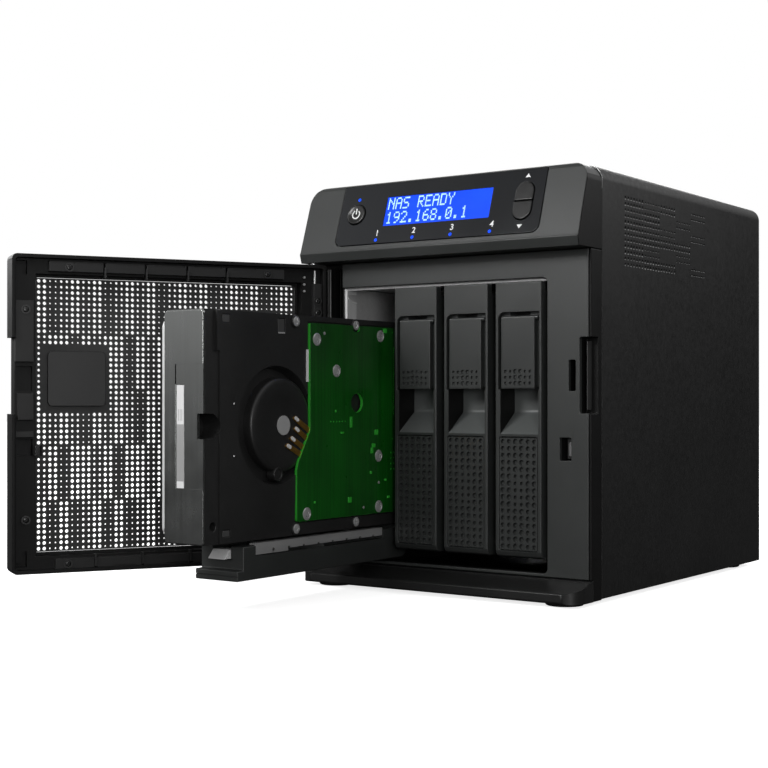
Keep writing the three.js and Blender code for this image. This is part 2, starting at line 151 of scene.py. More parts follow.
def rounded(corners, radius, steps=6):
    """The outline through these corners, each rounded by one radius or by its own."""
    radii = radius if isinstance(radius, (list, tuple)) else [radius] * len(corners)
    outline = []
    for i, (corner, r) in enumerate(zip(corners, radii)):
        here = Vector(corner)
        if r <= 0:
            outline.append(tuple(here))
            continue
        back = (Vector(corners[i - 1]) - here).normalized()
        on = (Vector(corners[(i + 1) % len(corners)]) - here).normalized()
        half = back.angle(on) / 2
        centre = here + (back + on).normalized() * (r / math.sin(half))
        start = here + back * (r / math.tan(half)) - centre
        end = here + on * (r / math.tan(half)) - centre
        for k in range(steps + 1):
            t = k / steps
            outline.append(tuple(centre + (start * (1 - t) + end * t).normalized() * r))
    return outline


def arch(half, bottom, top, radius):
    return rounded([(-half, bottom), (half, bottom), (half, top), (-half, top)], [0, 0, radius, radius], 12)


def boolean(operation, base, tool):
    holders = []
    for shape in (base, tool):
        holders.append(bpy.data.objects.new("boolean", shape.mesh()))
        SCENE.collection.objects.link(holders[-1])
    modifier = holders[0].modifiers.new("boolean", "BOOLEAN")
    modifier.operation = operation
    modifier.solver = "EXACT"
    modifier.object = holders[1]
    made = holders[0].evaluated_get(bpy.context.evaluated_depsgraph_get())
    mesh = made.to_mesh()
    result = Shape([v.co for v in mesh.vertices], [p.vertices for p in mesh.polygons])
    made.to_mesh_clear()
    for holder in holders:
        bpy.data.meshes.remove(holder.data)
    return result


def cut(base, *tools):
    for tool in tools:
        base = boolean("DIFFERENCE", base, tool)
    return base


def eased(shape, width, segments=3, sharpest=28):
    """The shape with a small round on every edge that is sharper than this many degrees."""
    mesh = shape.mesh()
    bm = bmesh.new()
    bm.from_mesh(mesh)
    bmesh.ops.remove_doubles(bm, verts=bm.verts, dist=1e-3)
    limit = math.radians(sharpest)
    edges = [e for e in bm.edges if len(e.link_faces) == 2 and e.calc_face_angle() > limit]
    bmesh.ops.bevel(
        bm, geom=edges, offset=width, segments=segments, profile=0.5, affect="EDGES", clamp_overlap=True
    )
    bm.verts.index_update()
    result = Shape([v.co for v in bm.verts], [[v.index for v in f.verts] for f in bm.faces])
    bm.free()
    bpy.data.meshes.remove(mesh)
    return result


def well(axis, outline_at, start, end, flare=0.3):
    """A cutting tool for a pocket or hole from start to end, with a small chamfer at its mouth.

    outline_at(grow) gives the outline grown by that much.
    """
    inward = 1 if end > start else -1
    levels = [(flare + 0.5, start - 0.5 * inward), (0, start + flare * inward), (0, end)]
    return loft([[spot(axis, p, q, along) for p, q in outline_at(grow)] for grow, along in levels])


def window(ps, qs, radius=0.6, steps=4):
    """Outlines of a rectangle with rounded corners, for well()."""
    radii = radius if isinstance(radius, (list, tuple)) else [radius] * 4

    def outline_at(grow):
        corners = rectangle((ps[0] - grow, ps[1] + grow), (qs[0] - grow, qs[1] + grow))
        return rounded(corners, [r + grow + 0.02 for r in radii], steps)

    return outline_at


def disc(radius, centre, sides=32):
    return lambda grow: circle(radius + grow, centre, sides)


def cad_shape(node, width=0.0):
    """A CAD node's own shape with its flat faces made whole and its edges eased."""
    bm = bmesh.new()
    bm.from_mesh(frame["nodes"][node].data)
    bmesh.ops.scale(bm, vec=(1 / MM,) * 3, verts=bm.verts)
    bmesh.ops.remove_doubles(bm, verts=bm.verts, dist=1e-3)
    bmesh.ops.dissolve_limit(bm, angle_limit=math.radians(1), verts=bm.verts, edges=bm.edges)
    bm.verts.index_update()
    shape = Shape([v.co for v in bm.verts], [[v.index for v in f.verts] for f in bm.faces])
    bm.free()
    return eased(shape, width) if width else shape


def span(node, place=Matrix.Identity(4)):
    """The box of a CAD node in millimetres, as X, Y and Z pairs, in the frame that place moves from."""
    back = place.inverted()
    points = [back @ (v.co / MM) for v in frame["nodes"][node].data.vertices]
    return [(min(p[i] for p in points), max(p[i] for p in points)) for i in range(3)]


def around(joint, degrees, axis):
    """A turn about a joint's own point."""
    shift = Matrix.Translation(Vector(JOINTS[joint]["pos_m"]) / MM)
    return shift @ Matrix.Rotation(math.radians(degrees), 4, axis) @ shift.inverted()


def facing(direction):
    """The turn that takes +Z to this direction."""
    return Vector((0, 0, 1)).rotation_difference(Vector(direction)).to_matrix().to_4x4()


class Sheet:
    """Collects faces whose corners are (p, q, depth) and shares the points that are equal."""

    def __init__(self, to_point):
        self.to_point = to_point
        self.index = {}
        self.points = []
        self.faces = []

    def number(self, p, q, depth):
        key = (round(p, 4), round(q, 4), round(depth, 4))
        if key not in self.index:
            self.index[key] = len(self.points)
            self.points.append(self.to_point(*key))
        return self.index[key]

    def face(self, outline, depth):
        self.faces.append([self.number(p, q, depth) for p, q in outline])

    def band(self, first, second):
        """Joins two rings, each given as (outline, depth)."""
        (a, a_depth), (b, b_depth) = first, second
        for k in range(len(a)):
            m = (k + 1) % len(a)
            corners = [(*a[k], a_depth), (*a[m], a_depth), (*b[m], b_depth), (*b[k], b_depth)]
            self.faces.append([self.number(*c) for c in corners])


def perforated(ps, qs, depths, size_at, to_point, bore=None, blind=False, edge=0.0, n=3):
    """A plate over the column edges ps and the row edges qs, from depths[0] in front to depths[1] behind.

    size_at(column, row) is the hole's (half width, half height), or None for no hole. bore lists
    (share of that size, depth) down the hole, and a blind hole ends in a floor. edge is the size of
    the chamfer round the plate.
    """
    sheet = Sheet(to_point)
    front, back = depths
    bore = bore or [(1.0, back)]
    for i in range(len(ps) - 1):
        for j in range(len(qs) - 1):
            corners = rectangle(ps[i : i + 2], qs[j : j + 2])
            rim = []
            for side in range(4):
                (p0, q0), (p1, q1) = corners[side], corners[(side + 1) % 4]
                rim += [(p0 + (p1 - p0) * k / n, q0 + (q1 - q0) * k / n) for k in range(n)]
            size = size_at(i, j)
            if not size:
                sheet.face(rim, front)
                sheet.face(rim, back)
                continue
            centre = ((ps[i] + ps[i + 1]) / 2, (qs[j] + qs[j + 1]) / 2)
            rings = []
            for share, depth in [(1.0, front)] + bore:
                unit = circle(share, sides=4 * n, turn=-0.75 * math.pi)
                rings.append(([(centre[0] + size[0] * p, centre[1] + size[1] * q) for p, q in unit], depth))
            sheet.band((rim, front), rings[0])
            for upper, lower in zip(rings, rings[1:]):
                sheet.band(upper, lower)
            if blind:
                sheet.face(*rings[-1])
                sheet.face(rim, back)
            else:
                sheet.band(rings[-1], (rim, back))
    p_steps, q_steps = fine(ps, n), fine(qs, n)
    border = [(p, qs[0]) for p in p_steps] + [(ps[-1], q) for q in q_steps[1:]]
    border += [(p, qs[-1]) for p in p_steps[-2::-1]] + [(ps[0], q) for q in q_steps[-2:0:-1]]

    def pushed_out(value, edges):
        """A place on the plate's outer edge moved out by the chamfer; any other stays."""
        return value + edge * ((value == edges[-1]) - (value == edges[0]))

    grown = [(pushed_out(p, ps), pushed_out(q, qs)) for p, q in border]
    levels = [(border, front), (grown, front + edge), (grown, back - edge), (border, back)]
    if not edge:
        levels = [(border, front), (border, back)]
    for upper, lower in zip(levels, levels[1:]):
        sheet.band(upper, lower)
    return Shape(sheet.points, sheet.faces)


def fine(edges, n):
    """Cell edges with each cell split in n."""
    steps = [a + (b - a) * k / n for a, b in zip(edges, edges[1:]) for k in range(n)]
    return steps + [edges[-1]]


def evenly(start, stop, count):
    return [start + (stop - start) * k / count for k in range(count + 1)]


# ---------------------------------------------------------------- materials
class Look:
    """A node material being built, together with the record's slot that it belongs to."""

    def __init__(self, name, slot, metallic=0.0, specular=0.5, coat=0.0, coat_roughness=0.1):
        self.slot = slot
        self.material = bpy.data.materials.new(name)
        self.material.use_nodes = True
        self.tree = self.material.node_tree
        self.shader = self.tree.nodes["Principled BSDF"]
        self.shader.inputs["Metallic"].default_value = metallic
        self.shader.inputs["Specular IOR Level"].default_value = specular
        self.shader.inputs["Coat Weight"].default_value = coat
        self.shader.inputs["Coat Roughness"].default_value = coat_roughness
        self.place = self.node("ShaderNodeTexCoord").outputs["Object"]

    def node(self, kind, **settings):
        made = self.tree.nodes.new(kind)
        for key, value in settings.items():
            setattr(made, key, value)
        return made

    def link(self, source, node, socket):
        self.tree.links.new(source, node.inputs[socket])

    def stretched(self, scale):
        node = self.node("ShaderNodeMapping")
        node.inputs["Scale"].default_value = scale
        self.link(self.place, node, "Vector")
        return node.outputs["Vector"]

    def noise(self, scale, detail=4.0, stretch=None):
        node = self.node("ShaderNodeTexNoise")
        node.inputs["Scale"].default_value = scale
        node.inputs["Detail"].default_value = detail
        self.link(self.stretched(stretch) if stretch else self.place, node, "Vector")
        return node.outputs["Fac"]

    def cells(self, scale):
        node = self.node("ShaderNodeTexVoronoi")
        node.inputs["Scale"].default_value = scale
        self.link(self.place, node, "Vector")
        return node.outputs["Distance"]

    def ramp(self, factor, stops):
        node = self.node("ShaderNodeValToRGB")
        elements = node.color_ramp.elements
        while len(elements) < len(stops):
            elements.new(0.5)
        for element, (position, colour) in zip(elements, stops):
            element.position = position
            element.color = (*colour, 1)
        self.link(factor, node, "Fac")
        return node.outputs["Color"]

    def mix(self, factor, a, b, blend="MIX"):
        node = self.node("ShaderNodeMix", data_type="RGBA", blend_type=blend)
        if isinstance(factor, float):
            node.inputs["Factor"].default_value = factor
        else:
            self.link(factor, node, "Factor")
        self.tree.links.new(a, node.inputs[6])
        self.tree.links.new(b, node.inputs[7])
        return node.outputs[2]

    def scaled(self, value, low, high):
        node = self.node("ShaderNodeMapRange")
        node.inputs["From Min"].default_value = 0.25
        node.inputs["From Max"].default_value = 0.75
        node.inputs["To Min"].default_value = low
        node.inputs["To Max"].default_value = high
        self.link(value, node, "Value")
        return node.outputs["Result"]

    def bump(self, height, depth_mm, strength=1.0, under=None):
        node = self.node("ShaderNodeBump")
        node.inputs["Distance"].default_value = depth_mm * MM
        node.inputs["Strength"].default_value = strength
        self.link(height, node, "Height")
        if under:
            self.link(under, node, "Normal")
        return node.outputs["Normal"]

    def set(self, colour=None, roughness=None, normal=None):
        if colour:
            self.link(colour, self.shader, "Base Color")
        if roughness:
            self.link(roughness, self.shader, "Roughness")
        if normal:
            self.link(normal, self.shader, "Normal")
        return self


def grey(level, warm=0.0):
    return (level * (1 + warm), level, level * (1 - warm))


def moulded(name, slot, dark, light, rough, grain=2600, depth=0.02, specular=0.45):
    """Moulded plastic: spark-eroded grain, faint mottling and handling marks."""
    look = Look(name, slot, specular=specular)
    colour = look.ramp(look.noise(28, 6), [(0.3, dark), (0.7, light)])
    rough_map = look.scaled(look.mix(0.5, look.noise(240), look.noise(14)), rough - 0.05, rough + 0.07)
    return look.set(colour, rough_map, look.bump(look.noise(grain, 2), depth))


def powder(name, slot, dark, light, rough, pebble=1500, depth=0.035, fleck=0.05):
    """Powder coat: a fine pebble with tiny brighter flecks."""
    look = Look(name, slot, specular=0.3)
    base = look.ramp(look.noise(22, 5), [(0.3, dark), (0.7, light)])
    flecks = look.ramp(look.cells(pebble * 0.8), [(0.0, grey(fleck)), (0.22, grey(0.0))])
    colour = look.mix(1.0, base, flecks, "ADD")
    rough_map = look.scaled(look.noise(420), rough - 0.08, rough + 0.08)
    return look.set(colour, rough_map, look.bump(look.noise(pebble, 3), depth))


def brushed(name, slot, dark, light, rough, along=(1, 1, 1), depth=0.004, metallic=1.0):
    """Rolled or brushed metal with fine lines along its low-scale axis and clouded roughness."""
    look = Look(name, slot, metallic=metallic)
    lines = look.noise(500, 3, along)
    colour = look.ramp(look.mix(0.5, lines, look.noise(30)), [(0.3, dark), (0.7, light)])
    rough_map = look.scaled(look.mix(0.6, lines, look.noise(60)), rough - 0.06, rough + 0.08)
    return look.set(colour, rough_map, look.bump(lines, depth))


def cast_black():
    """Black coated casting: a soft orange peel over fine grain."""
    look = Look("cast_black", "black_casting", specular=0.45)
    colour = look.ramp(look.noise(50, 6), [(0.3, grey(0.0085)), (0.72, grey(0.013))])
    rough_map = look.scaled(look.noise(330), 0.38, 0.5)
    peel = look.bump(look.noise(60, 3), 0.04)
    return look.set(colour, rough_map, look.bump(look.noise(900, 4), 0.02, under=peel))


def circuit_green():
    """Solder mask over copper: straight traces show as faint lighter lines, with via dots between."""
    look = Look("solder_mask", "circuit_board", specular=0.3, coat=0.1)
    lanes = look.noise(1500, 2, (1, 1, 0.012))
    traces = look.ramp(lanes, [(0.42, (0.0028, 0.066, 0.0045)), (0.58, (0.005, 0.098, 0.007))])
    shade = look.ramp(look.noise(18, 3), [(0.3, (0.55,) * 3), (0.7, (1.1,) * 3)])
    colour = look.mix(1.0, traces, shade, "MULTIPLY")
    rough_map = look.scaled(look.noise(200), 0.26, 0.42)
    return look.set(colour, rough_map, look.bump(lanes, 0.02))


def lens_black():
    look = Look("lens_gloss", "lens", specular=0.38, coat=0.1, coat_roughness=0.03)
    colour = look.ramp(look.noise(10, 3), [(0.3, (0.0035, 0.0042, 0.0055)), (0.7, (0.007, 0.008, 0.010))])
    smear = look.noise(36, 5, (1, 1, 0.35))
    return look.set(colour, look.scaled(smear, 0.10, 0.19), look.bump(look.noise(15, 2), 0.01))


def glowing(name, slot, colour, strength, dark_share=0.7, scale=400):
    """A lit surface whose brightness drifts a little, as a back light does."""
    look = Look(name, slot, specular=0.08)
    low = tuple(c * dark_share for c in colour)
    tint = look.ramp(look.noise(scale, 2), [(0.3, low), (0.7, colour)])
    look.link(tint, look.shader, "Emission Color")
    look.shader.inputs["Emission Strength"].default_value = strength
    return look.set(tint, look.scaled(look.noise(150), 0.25, 0.4))


def rubbery():
    look = Look("foot_rubber", "rubber", specular=0.3)
    colour = look.ramp(look.noise(60, 5), [(0.3, grey(0.012)), (0.7, grey(0.025))])
    return look.set(colour, look.scaled(look.noise(500), 0.75, 0.92), look.bump(look.noise(1500), 0.05))


LOOKS = {
    "powder": powder("powder_black", "powder_coat", grey(0.0065), grey(0.0095), 0.5, depth=0.05),
    "sheet": powder(
        "sheet_black", "door_sheet", grey(0.019), grey(0.025), 0.5, pebble=2200, depth=0.02, fleck=0.02
    ),
    "satin": moulded("satin_grey", "satin_grey", (0.021, 0.0226, 0.0220), (0.026, 0.028, 0.0272), 0.40),
    "door": moulded("bay_grey", "satin_grey", (0.019, 0.0206, 0.0200), (0.024, 0.0258, 0.0250), 0.38),
    "pads": moulded("pad_plastic", "black_plastic", grey(0.010), grey(0.013), 0.46, specular=0.25),
    # The darkest black: the door frame's own colour, and painted shade on the bezel's right side, the bay
    # recesses' left walls and the chassis frame's side band.
    "black_and_shade": moulded(
        "black_and_painted_shade", "black_plastic", grey(0.0035), grey(0.006), 0.45, grain=1900, specular=0.15
    ),
    # Painted light: a lighter grey standing in for the light on the ramps of the bay doors' finger recesses.
    "lit_ramp": moulded("bay_ramp_painted_light", "satin_grey", (0.080, 0.086, 0.084), (0.092, 0.098, 0.096), 0.36),
    "pillar": moulded("pillar_grey", "satin_grey", grey(0.03), grey(0.04), 0.35),
    "plastic": moulded("black_plastic", "black_plastic", grey(0.007), grey(0.011), 0.38, grain=1900),
    "gloss": moulded("button_black", "black_plastic", grey(0.007), grey(0.010), 0.22, depth=0.006),
    "lens": lens_black(),
    "lcd": glowing("lcd_blue", "display", (0.006, 0.055, 0.72), 0.62, 0.85, 60),
    "lcd_dots": glowing("lcd_dots", "display", (0.36, 0.58, 1.0), 0.75, 0.9, 300),
    "led": glowing("led_blue", "display", (0.003, 0.06, 0.8), 0.9, 0.8, 500),
    "ink": moulded("white_ink", "lens", grey(0.72), grey(0.85), 0.5, depth=0.004),
    "board": circuit_green(),
    "steel": brushed("bright_steel", "bright_steel", grey(0.42), grey(0.58), 0.3, (1, 0.03, 1), metallic=0.7),
    "cage": brushed("cage_steel", "bright_steel", grey(0.46), grey(0.58), 0.4, (0.04, 1, 1), metallic=0.4),
    "aluminium": brushed("bare_aluminium", "bare_aluminium", grey(0.24), grey(0.34), 0.42, (1, 1, 0.03)),
    "lid": brushed(
        "lid_metal", "bare_aluminium", (0.245, 0.252, 0.248), (0.265, 0.272, 0.268), 0.24, (1, 1, 0.02), 0.001
    ),
    "lid_rim": brushed("lid_rim", "bare_aluminium", grey(0.62), grey(0.72), 0.3, (1, 1, 0.03), metallic=0.3),
    "tooth": moulded("pale_metal", "bright_steel", grey(0.50), grey(0.62), 0.34, depth=0.006),
    "pad": moulded("pad_grey", "black_casting", grey(0.035), grey(0.05), 0.5),
    # Partly the bright steel's own colour, partly painted light: lighter and less metallic than the cage so
    # that its edges show lit.
    "cage_edge_lit": brushed(
        "cage_edge_lit", "bright_steel", grey(0.55), grey(0.66), 0.35, (1, 1, 0.04), metallic=0.2
    ),
    # Painted highlight: a pale grey for the lit lower lips of the vent holes.
    "vent_highlight": moulded("vent_lip_painted_highlight", "powder_coat", grey(0.45), grey(0.6), 0.4, depth=0.004),
    "screw": brushed("screw_steel", "bright_steel", grey(0.40), grey(0.55), 0.28, (1, 1, 1), metallic=0.6),
    "casting": cast_black(),
    "rubber": rubbery(),
    "label": moulded("label_paper", "bare_aluminium", grey(0.60), grey(0.72), 0.6, depth=0.006),
    "label_grey": moulded("label_shade", "bare_aluminium", grey(0.27), grey(0.33), 0.6, depth=0.006),
    "gold": brushed("gold_contact", "circuit_board", (0.50, 0.26, 0.05), (0.72, 0.42, 0.10), 0.35),
    "green_part": moulded("green_part", "circuit_board", (0.02, 0.30, 0.02), (0.04, 0.42, 0.04), 0.4),
    "chip": moulded("chip_black", "circuit_board", grey(0.012), grey(0.02), 0.5),
}


def piece(name, shape, look, body, stands_for=(), place=None):
    """A finished piece: its mesh in metres, its look, and the body that it moves with."""
    if place:
        shape = shape.moved(place)
    mesh = shape.mesh(MM)
    mesh.name = name
    mesh.validate()
    mesh.materials.append(LOOKS[look].material)
    mesh.shade_smooth()
    mesh.set_sharp_from_angle(angle=math.radians(50))
    made = bpy.data.objects.new(name, mesh)
    SCENE.collection.objects.link(made)
    made.modifiers.new("even_normals", "WEIGHTED_NORMAL").keep_sharp = True
    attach(made, body)
    if stands_for:
        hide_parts(*stands_for)
    return made


def keep(node, look, ease=0.0):
    """A CAD node that stays as it is, with a material and eased edges."""
    shown = frame["nodes"][node]
    shown.data.materials.clear()
    shown.data.materials.append(LOOKS[look].material)
    if ease:
        shown.modifiers.new("weld", "WELD").merge_threshold = 1e-6
        bevel = shown.modifiers.new("ease", "BEVEL")
        bevel.width = ease * MM
        bevel.segments = 2
        bevel.angle_limit = math.radians(30)
        bevel.harden_normals = True


def screw_head(radius, height, star=False):
    """A round screw head that faces +Z, with a cross or a six-lobed recess."""
    head = turned("z", [(0.92, 0), (1, 0.12), (1, 0.5), (0.86, 0.85), (0.5, 1)], sides=20)
    if star:
        turns = [math.tau * k / 36 for k in range(36)]
        lobes = [0.5 * (1 + 0.22 * math.cos(6 * t)) for t in turns]
        outline = [(r * math.cos(t), r * math.sin(t)) for r, t in zip(lobes, turns)]
        head = cut(head, prism("z", outline, 0.35, 2))
    else:
        long, thin = (-0.62, 0.62), (-0.13, 0.13)
        head = cut(head, box(long, thin, (0.45, 2)), box(thin, long, (0.45, 2)))
    return head.moved(Matrix.Diagonal((radius, radius, height, 1)))


CROSS = screw_head(1, 1)
STAR = screw_head(1, 1, star=True)


def screws(spots, direction, radius, height, star=False):
    head = (STAR if star else CROSS).moved(Matrix.Diagonal((radius, radius, height, 1)))
    return total([head.moved(Matrix.Translation(p) @ facing(direction)) for p in spots])


# ---------------------------------------------------------------- places
def joint_point(joint):
    """A point on a joint's axis, in millimetres."""
    return [round(c / MM, 4) for c in JOINTS[joint]["pos_m"]]


DOOR_OPEN_DEG = 120.5  # how far the photographed front door is open
SWUNG = around("front_door_hinge", -DOOR_OPEN_DEG, "Z")
FOLDED = around("bay_1_door_hinge", 90, "X")
DOOR_PIN = joint_point("front_door_hinge")[:2]
BAY_HINGE = joint_point("bay_2_door_hinge")[1:]
LATCH_PIVOT = joint_point("bay_2_latch_pivot")[1:]
PIN_HOLE = 1.8  # radius of the holes for the front door's pin and for the rod of the bay doors
COVER = span("steel_cover")
COVER_SHEET = 1.2
BEZEL = span("control_bezel")
LEAN = math.radians(18.1)  # how far the control panel leans back
SLOPE = Matrix.Translation((0, BEZEL[1][0], BEZEL[2][0])) @ Matrix.Rotation(-LEAN, 4, "X")


# ---------------------------------------------------------------- enclosure
# The punched holes high on both sides: one word for each pair of rows from the top, one letter for each
# block of columns from the front: large, medium and small holes, thin slots, or none.
VENT_WORDS = ("LSM-T", "ML-S-", "LMS-T", "MLMM-", "LS-S-", "MLM-T")
VENT_SIZES = {"L": (1.0, 1.0), "M": (0.85, 0.85), "S": (0.62, 0.62), "T": (1.4, 0.42), "-": None}
VENT_BLOCKS = [0] * 7 + [1] * 6 + [2] * 6 + [3] * 6 + [4] * 6
VENT_COUNTS = (31, 12)
VENT_COLUMNS = evenly(-63.665, 33.365, VENT_COUNTS[0])
VENT_ROWS = evenly(155.888, 190.544, VENT_COUNTS[1])


def vent_size(column, row):
    from_top = VENT_COUNTS[1] - 1 - row
    return VENT_SIZES[VENT_WORDS[from_top // 2][VENT_BLOCKS[column]]]


def vent_spots():
    """The middle and half sizes of every hole."""
    spots = []
    for i in range(VENT_COUNTS[0]):
        for j in range(VENT_COUNTS[1]):
            if vent_size(i, j):
                p = (VENT_COLUMNS[i] + VENT_COLUMNS[i + 1]) / 2
                q = (VENT_ROWS[j] + VENT_ROWS[j + 1]) / 2
                spots.append((p, q, *vent_size(i, j)))
    return spots


def vent_patch():
    """The perforated part of the cover's side, drawn at x = 0 and facing +X."""
    bore = [(0.62, 0.75), (0.55, COVER_SHEET)]

    def to_point(p, q, depth):
        return (-depth, p, q)

    return perforated(VENT_COLUMNS, VENT_ROWS, (0, COVER_SHEET), vent_size, to_point, bore)


def steel_cover():
    (_, right), (front, back), (bottom, top) = COVER
    radius = 7
    outer = eased(prism("y", arch(right, bottom, top, radius), front, back), 0.35)
    inner_arch = arch(right - COVER_SHEET, bottom - 5, top - COVER_SHEET, radius - COVER_SHEET)
    inner = prism("y", inner_arch, front - 1, back + 1)
    patch = vent_patch()
    ys, zs = (VENT_COLUMNS[0], VENT_COLUMNS[-1]), (VENT_ROWS[0], VENT_ROWS[-1])
    shell = cut(outer, inner, box((-90, 90), ys, zs))
    # Painted highlights: a small pale block inside the lower wall of each vent hole stands in for the light
    # falling on the holes' lower lips.
    glints = []
    for p, q, half_width, half_height in vent_spots():
        low = (q - 0.95 * half_height, q - 0.5 * half_height)
        for xs in ((right - 0.5, right - 0.1), (0.1 - right, 0.5 - right)):
            glints.append(box(xs, (p - 0.6 * half_width, p + 0.6 * half_width), low))
    piece("vent_highlights", total(glints), "vent_highlight", "chassis")
    # A painted highlight along the cover's rounded front edge.
    piece("cover_edge_highlight", front_edge_highlight(right, front, top, radius), "aluminium", "chassis")
    for side in (1, -1):
        shell += patch.moved(Matrix.Diagonal((side, 1, 1, 1))).at(x=side * right)
    piece("cover", shell, "powder", "chassis", ["steel_cover"])


def front_edge_highlight(right, front, top, radius):
    """A painted highlight: the bright line along the cover's front edge, round its upper right corner, where
    the rounded edge catches the light.
    """
    turns = [math.radians(85 - 8.5 * k) for k in range(11)]
    reach = radius + 0.04
    line = [(right - radius + reach * math.cos(t), top - radius + reach * math.sin(t)) for t in turns]
    line.append((line[-1][0], line[-1][1] - 4))
    rings = []
    for x, z in line:
        outer = [(x, front - 0.15, z), (x, front + 0.2, z)]
        inner = [(x - 0.2, front + 0.2, z - 0.2), (x - 0.2, front - 0.15, z - 0.2)]
        rings.append(outer + inner)
    return loft(rings)


def rear_panel():
    xs, ys, zs = span("rear_panel")
    fan_x, _, fan_z = span("fan_housing")
    centre = (sum(fan_x) / 2, sum(fan_z) / 2)
    through = (100, 120)
    panel = prism("y", rounded(rectangle(xs, zs), [0, 0, 5.5, 5.5], 10), *ys)
    openings = []
    for node in ("ethernet_jacks", "usb_jacks", "power_inlets"):
        (x0, x1), _, (z0, z1) = span(node)
        openings.append(box((x0 - 0.3, x1 + 0.3), through, (z0 - 0.3, z1 + 0.3)))
    openings.append(prism("y", rounded(rectangle((-69.5, -62.5), (22, 25)), 1.2), *through))  # lock slot
    panel = eased(cut(panel, total(openings)), 0.25)
    holes = []
    pitch = 4.6
    for row in range(-10, 11):
        for column in range(-10, 11):
            x = pitch * (column + 0.5 * (row % 2))
            z = pitch * 0.866 * row
            if math.hypot(x, z) < 41.5:
                hexagon = circle(1.95, (centre[0] + x, centre[1] + z), 6, math.pi / 6)
                holes.append(prism("y", hexagon, *through))
    for x in range(-50, 46, 12):
        holes += [box((x, x + 9), through, (z, z + 1.8)) for z in (12, 16.5, 21)]
    piece("rear_sheet", cut(panel, total(holes)), "powder", "chassis", ["rear_panel"])
    fan_screws = [(centre[0] + i, ys[1], centre[1] + k) for i in (-41, 41) for k in (-41, 41)]
    edge_screws = [(x, ys[1], z) for x in (-72, 72) for z in (8, 193)]
    piece("rear_screws", screws(fan_screws + edge_screws, (0, 1, 0), 2.6, 0.6), "screw", "chassis")


def base_and_feet():
    keep("base_pan", "powder", 0.3)
    feet = ("foot_front_left", "foot_front_right", "foot_rear_left", "foot_rear_right")
    for node in feet:
        (x0, x1), (y0, y1), (z0, z1) = span(node)
        r = (x1 - x0) / 2
        profile = [(r, z1), (r, z0 + 0.5), (r - 0.5, z0), (r - 2, z0), (r - 2.4, z0 + 0.5), (1, z0 + 0.5)]
        shape = turned("z", profile, ((x0 + x1) / 2, (y0 + y1) / 2), 40)
        piece(node.replace("foot", "rubber_foot"), shape, "rubber", "chassis", [node])


def front_frame():
    moulding = eased(cad_shape("front_frame"), 0.45)
    grooves = [box(xs, (-100, -89.5), (12, 160)) for xs in ((-79.2, -73.4), (-68.3, -65.6), (-65.0, -63.6))]
    moulding = cut(moulding, total(grooves))
    # The moulding is drawn in the darkest black: partly its own colour, partly painted shade for its shaded
    # side band.
    piece("frame_moulding", moulding, "black_and_shade", "chassis", ["front_frame"])
    pillar = rod("z", 1.3, 12, 160, (-72.2, -94.6), 24)
    piece("hinge_side_pillar", pillar, "pillar", "chassis")
    sensor = eased(box((63.9, 69.2), (-90.5, -88.6), (65, 74.7)), 0.3)
    sensor += eased(box((65.2, 67.8), (-92.2, -89), (66.2, 73.2)), 0.3)
    piece("catch_sensor", sensor, "aluminium", "chassis")
    piece("grip_face", box((76.2, 76.5), (-94.4, -88.2), (88.2, 119.8)), "pillar", "chassis")


def front_plate():
    (x0, x1), (y0, y1), (z0, z1) = span("front_plate")
    plate = eased(box((x0, x1), (y0, y1), (z0, z1)), 0.45)
    mouth = window((x0 - 9, 56.9), (11.55, 149.9), 2.4, 8)
    tools = [
        well("y", mouth, y0, -80, 0.4),
        well("y", window((73.9, 90), (86.5, 121.5), 0.8), y0, -80, 0.4),
        well("y", window((68.3, 71.7), (96.8, 111.1)), y0, -80, 0.35),
        well("y", window((63.6, 69.5), (64.6, 75.1)), y0, -80, 0.35),
    ]
    piece("plate", cut(plate, *tools), "satin", "chassis", ["front_plate"])


def door_sill():
    (x0, x1), (y0, y1), (z0, z1) = span("door_sill")
    profile = rounded(
        [(y0, z0), (y1, z0), (y1, z1), (y1 - 2, z1), (y0 + 0.6, 4.9), (y0, 4.3)], [1.2, 0, 0, 0.8, 0.8, 0.5]
    )
    bar = prism("x", profile, x0, x1)
    r = 9
    plan = rounded([(x0, y0), (x1, y0), (x1, y1 + 1), (x0, y1 + 1)], [r, r, 0, 0], 16)
    sill = boolean("INTERSECT", bar, prism("z", plan, -1, 12))
    hole = rod("z", PIN_HOLE, 3, 20, DOOR_PIN, 24)
    groove = box((x0 - 1, x1 + 1), (y1 - 3.4, y1 - 2.8), (z1 - 0.7, z1 + 1))
    piece("sill", eased(cut(sill, hole, groove), 0.3), "plastic", "chassis", ["door_sill"])
    piece("hinge_pin", cad_shape("front_hinge_pin", 0.2), "steel", "chassis", ["front_hinge_pin"])


def cage_flange():
    """The bright edge strip of the cage at the left of bay 1, with its notch, and the lintel across the top
    of the bays. Both are drawn lighter and less metallic than the cage: partly the bright steel's own colour,
    partly painted light where the lamps don't reach.
    """
    outline = rectangle((-94.6, -86.4), (20, 149.6))
    notch = [(-93.4, 146.6), (-80, 147.0), (-80, 141.8), (-90.6, 143.6), (-93.4, 144.9)]
    strip = cut(eased(prism("x", outline, -61.95, -61.3), 0.12), prism("x", notch, -63, -60))
    rim = [(-93.6, 145.2), (-90.6, 143.9), (-86.4, 142.9), (-86.4, 142.3), (-90.7, 143.2), (-94, 144.7)]
    lintel = eased(box((-61.5, 56.5), (-94.5, -93.4), (148.5, 149.85)), 0.45)
    piece("cage_lintel", lintel, "cage_edge_lit", "chassis")
    piece("cage_edge_lit", strip + prism("x", rim, -61.5, -60.9), "cage_edge_lit", "chassis")


# ---------------------------------------------------------------- control panel
# Places on the panel: across, and up its slope from its foot.
POWER_KEY = (-48.3, 24.5)
SCROLL_KEY_X = 48.4

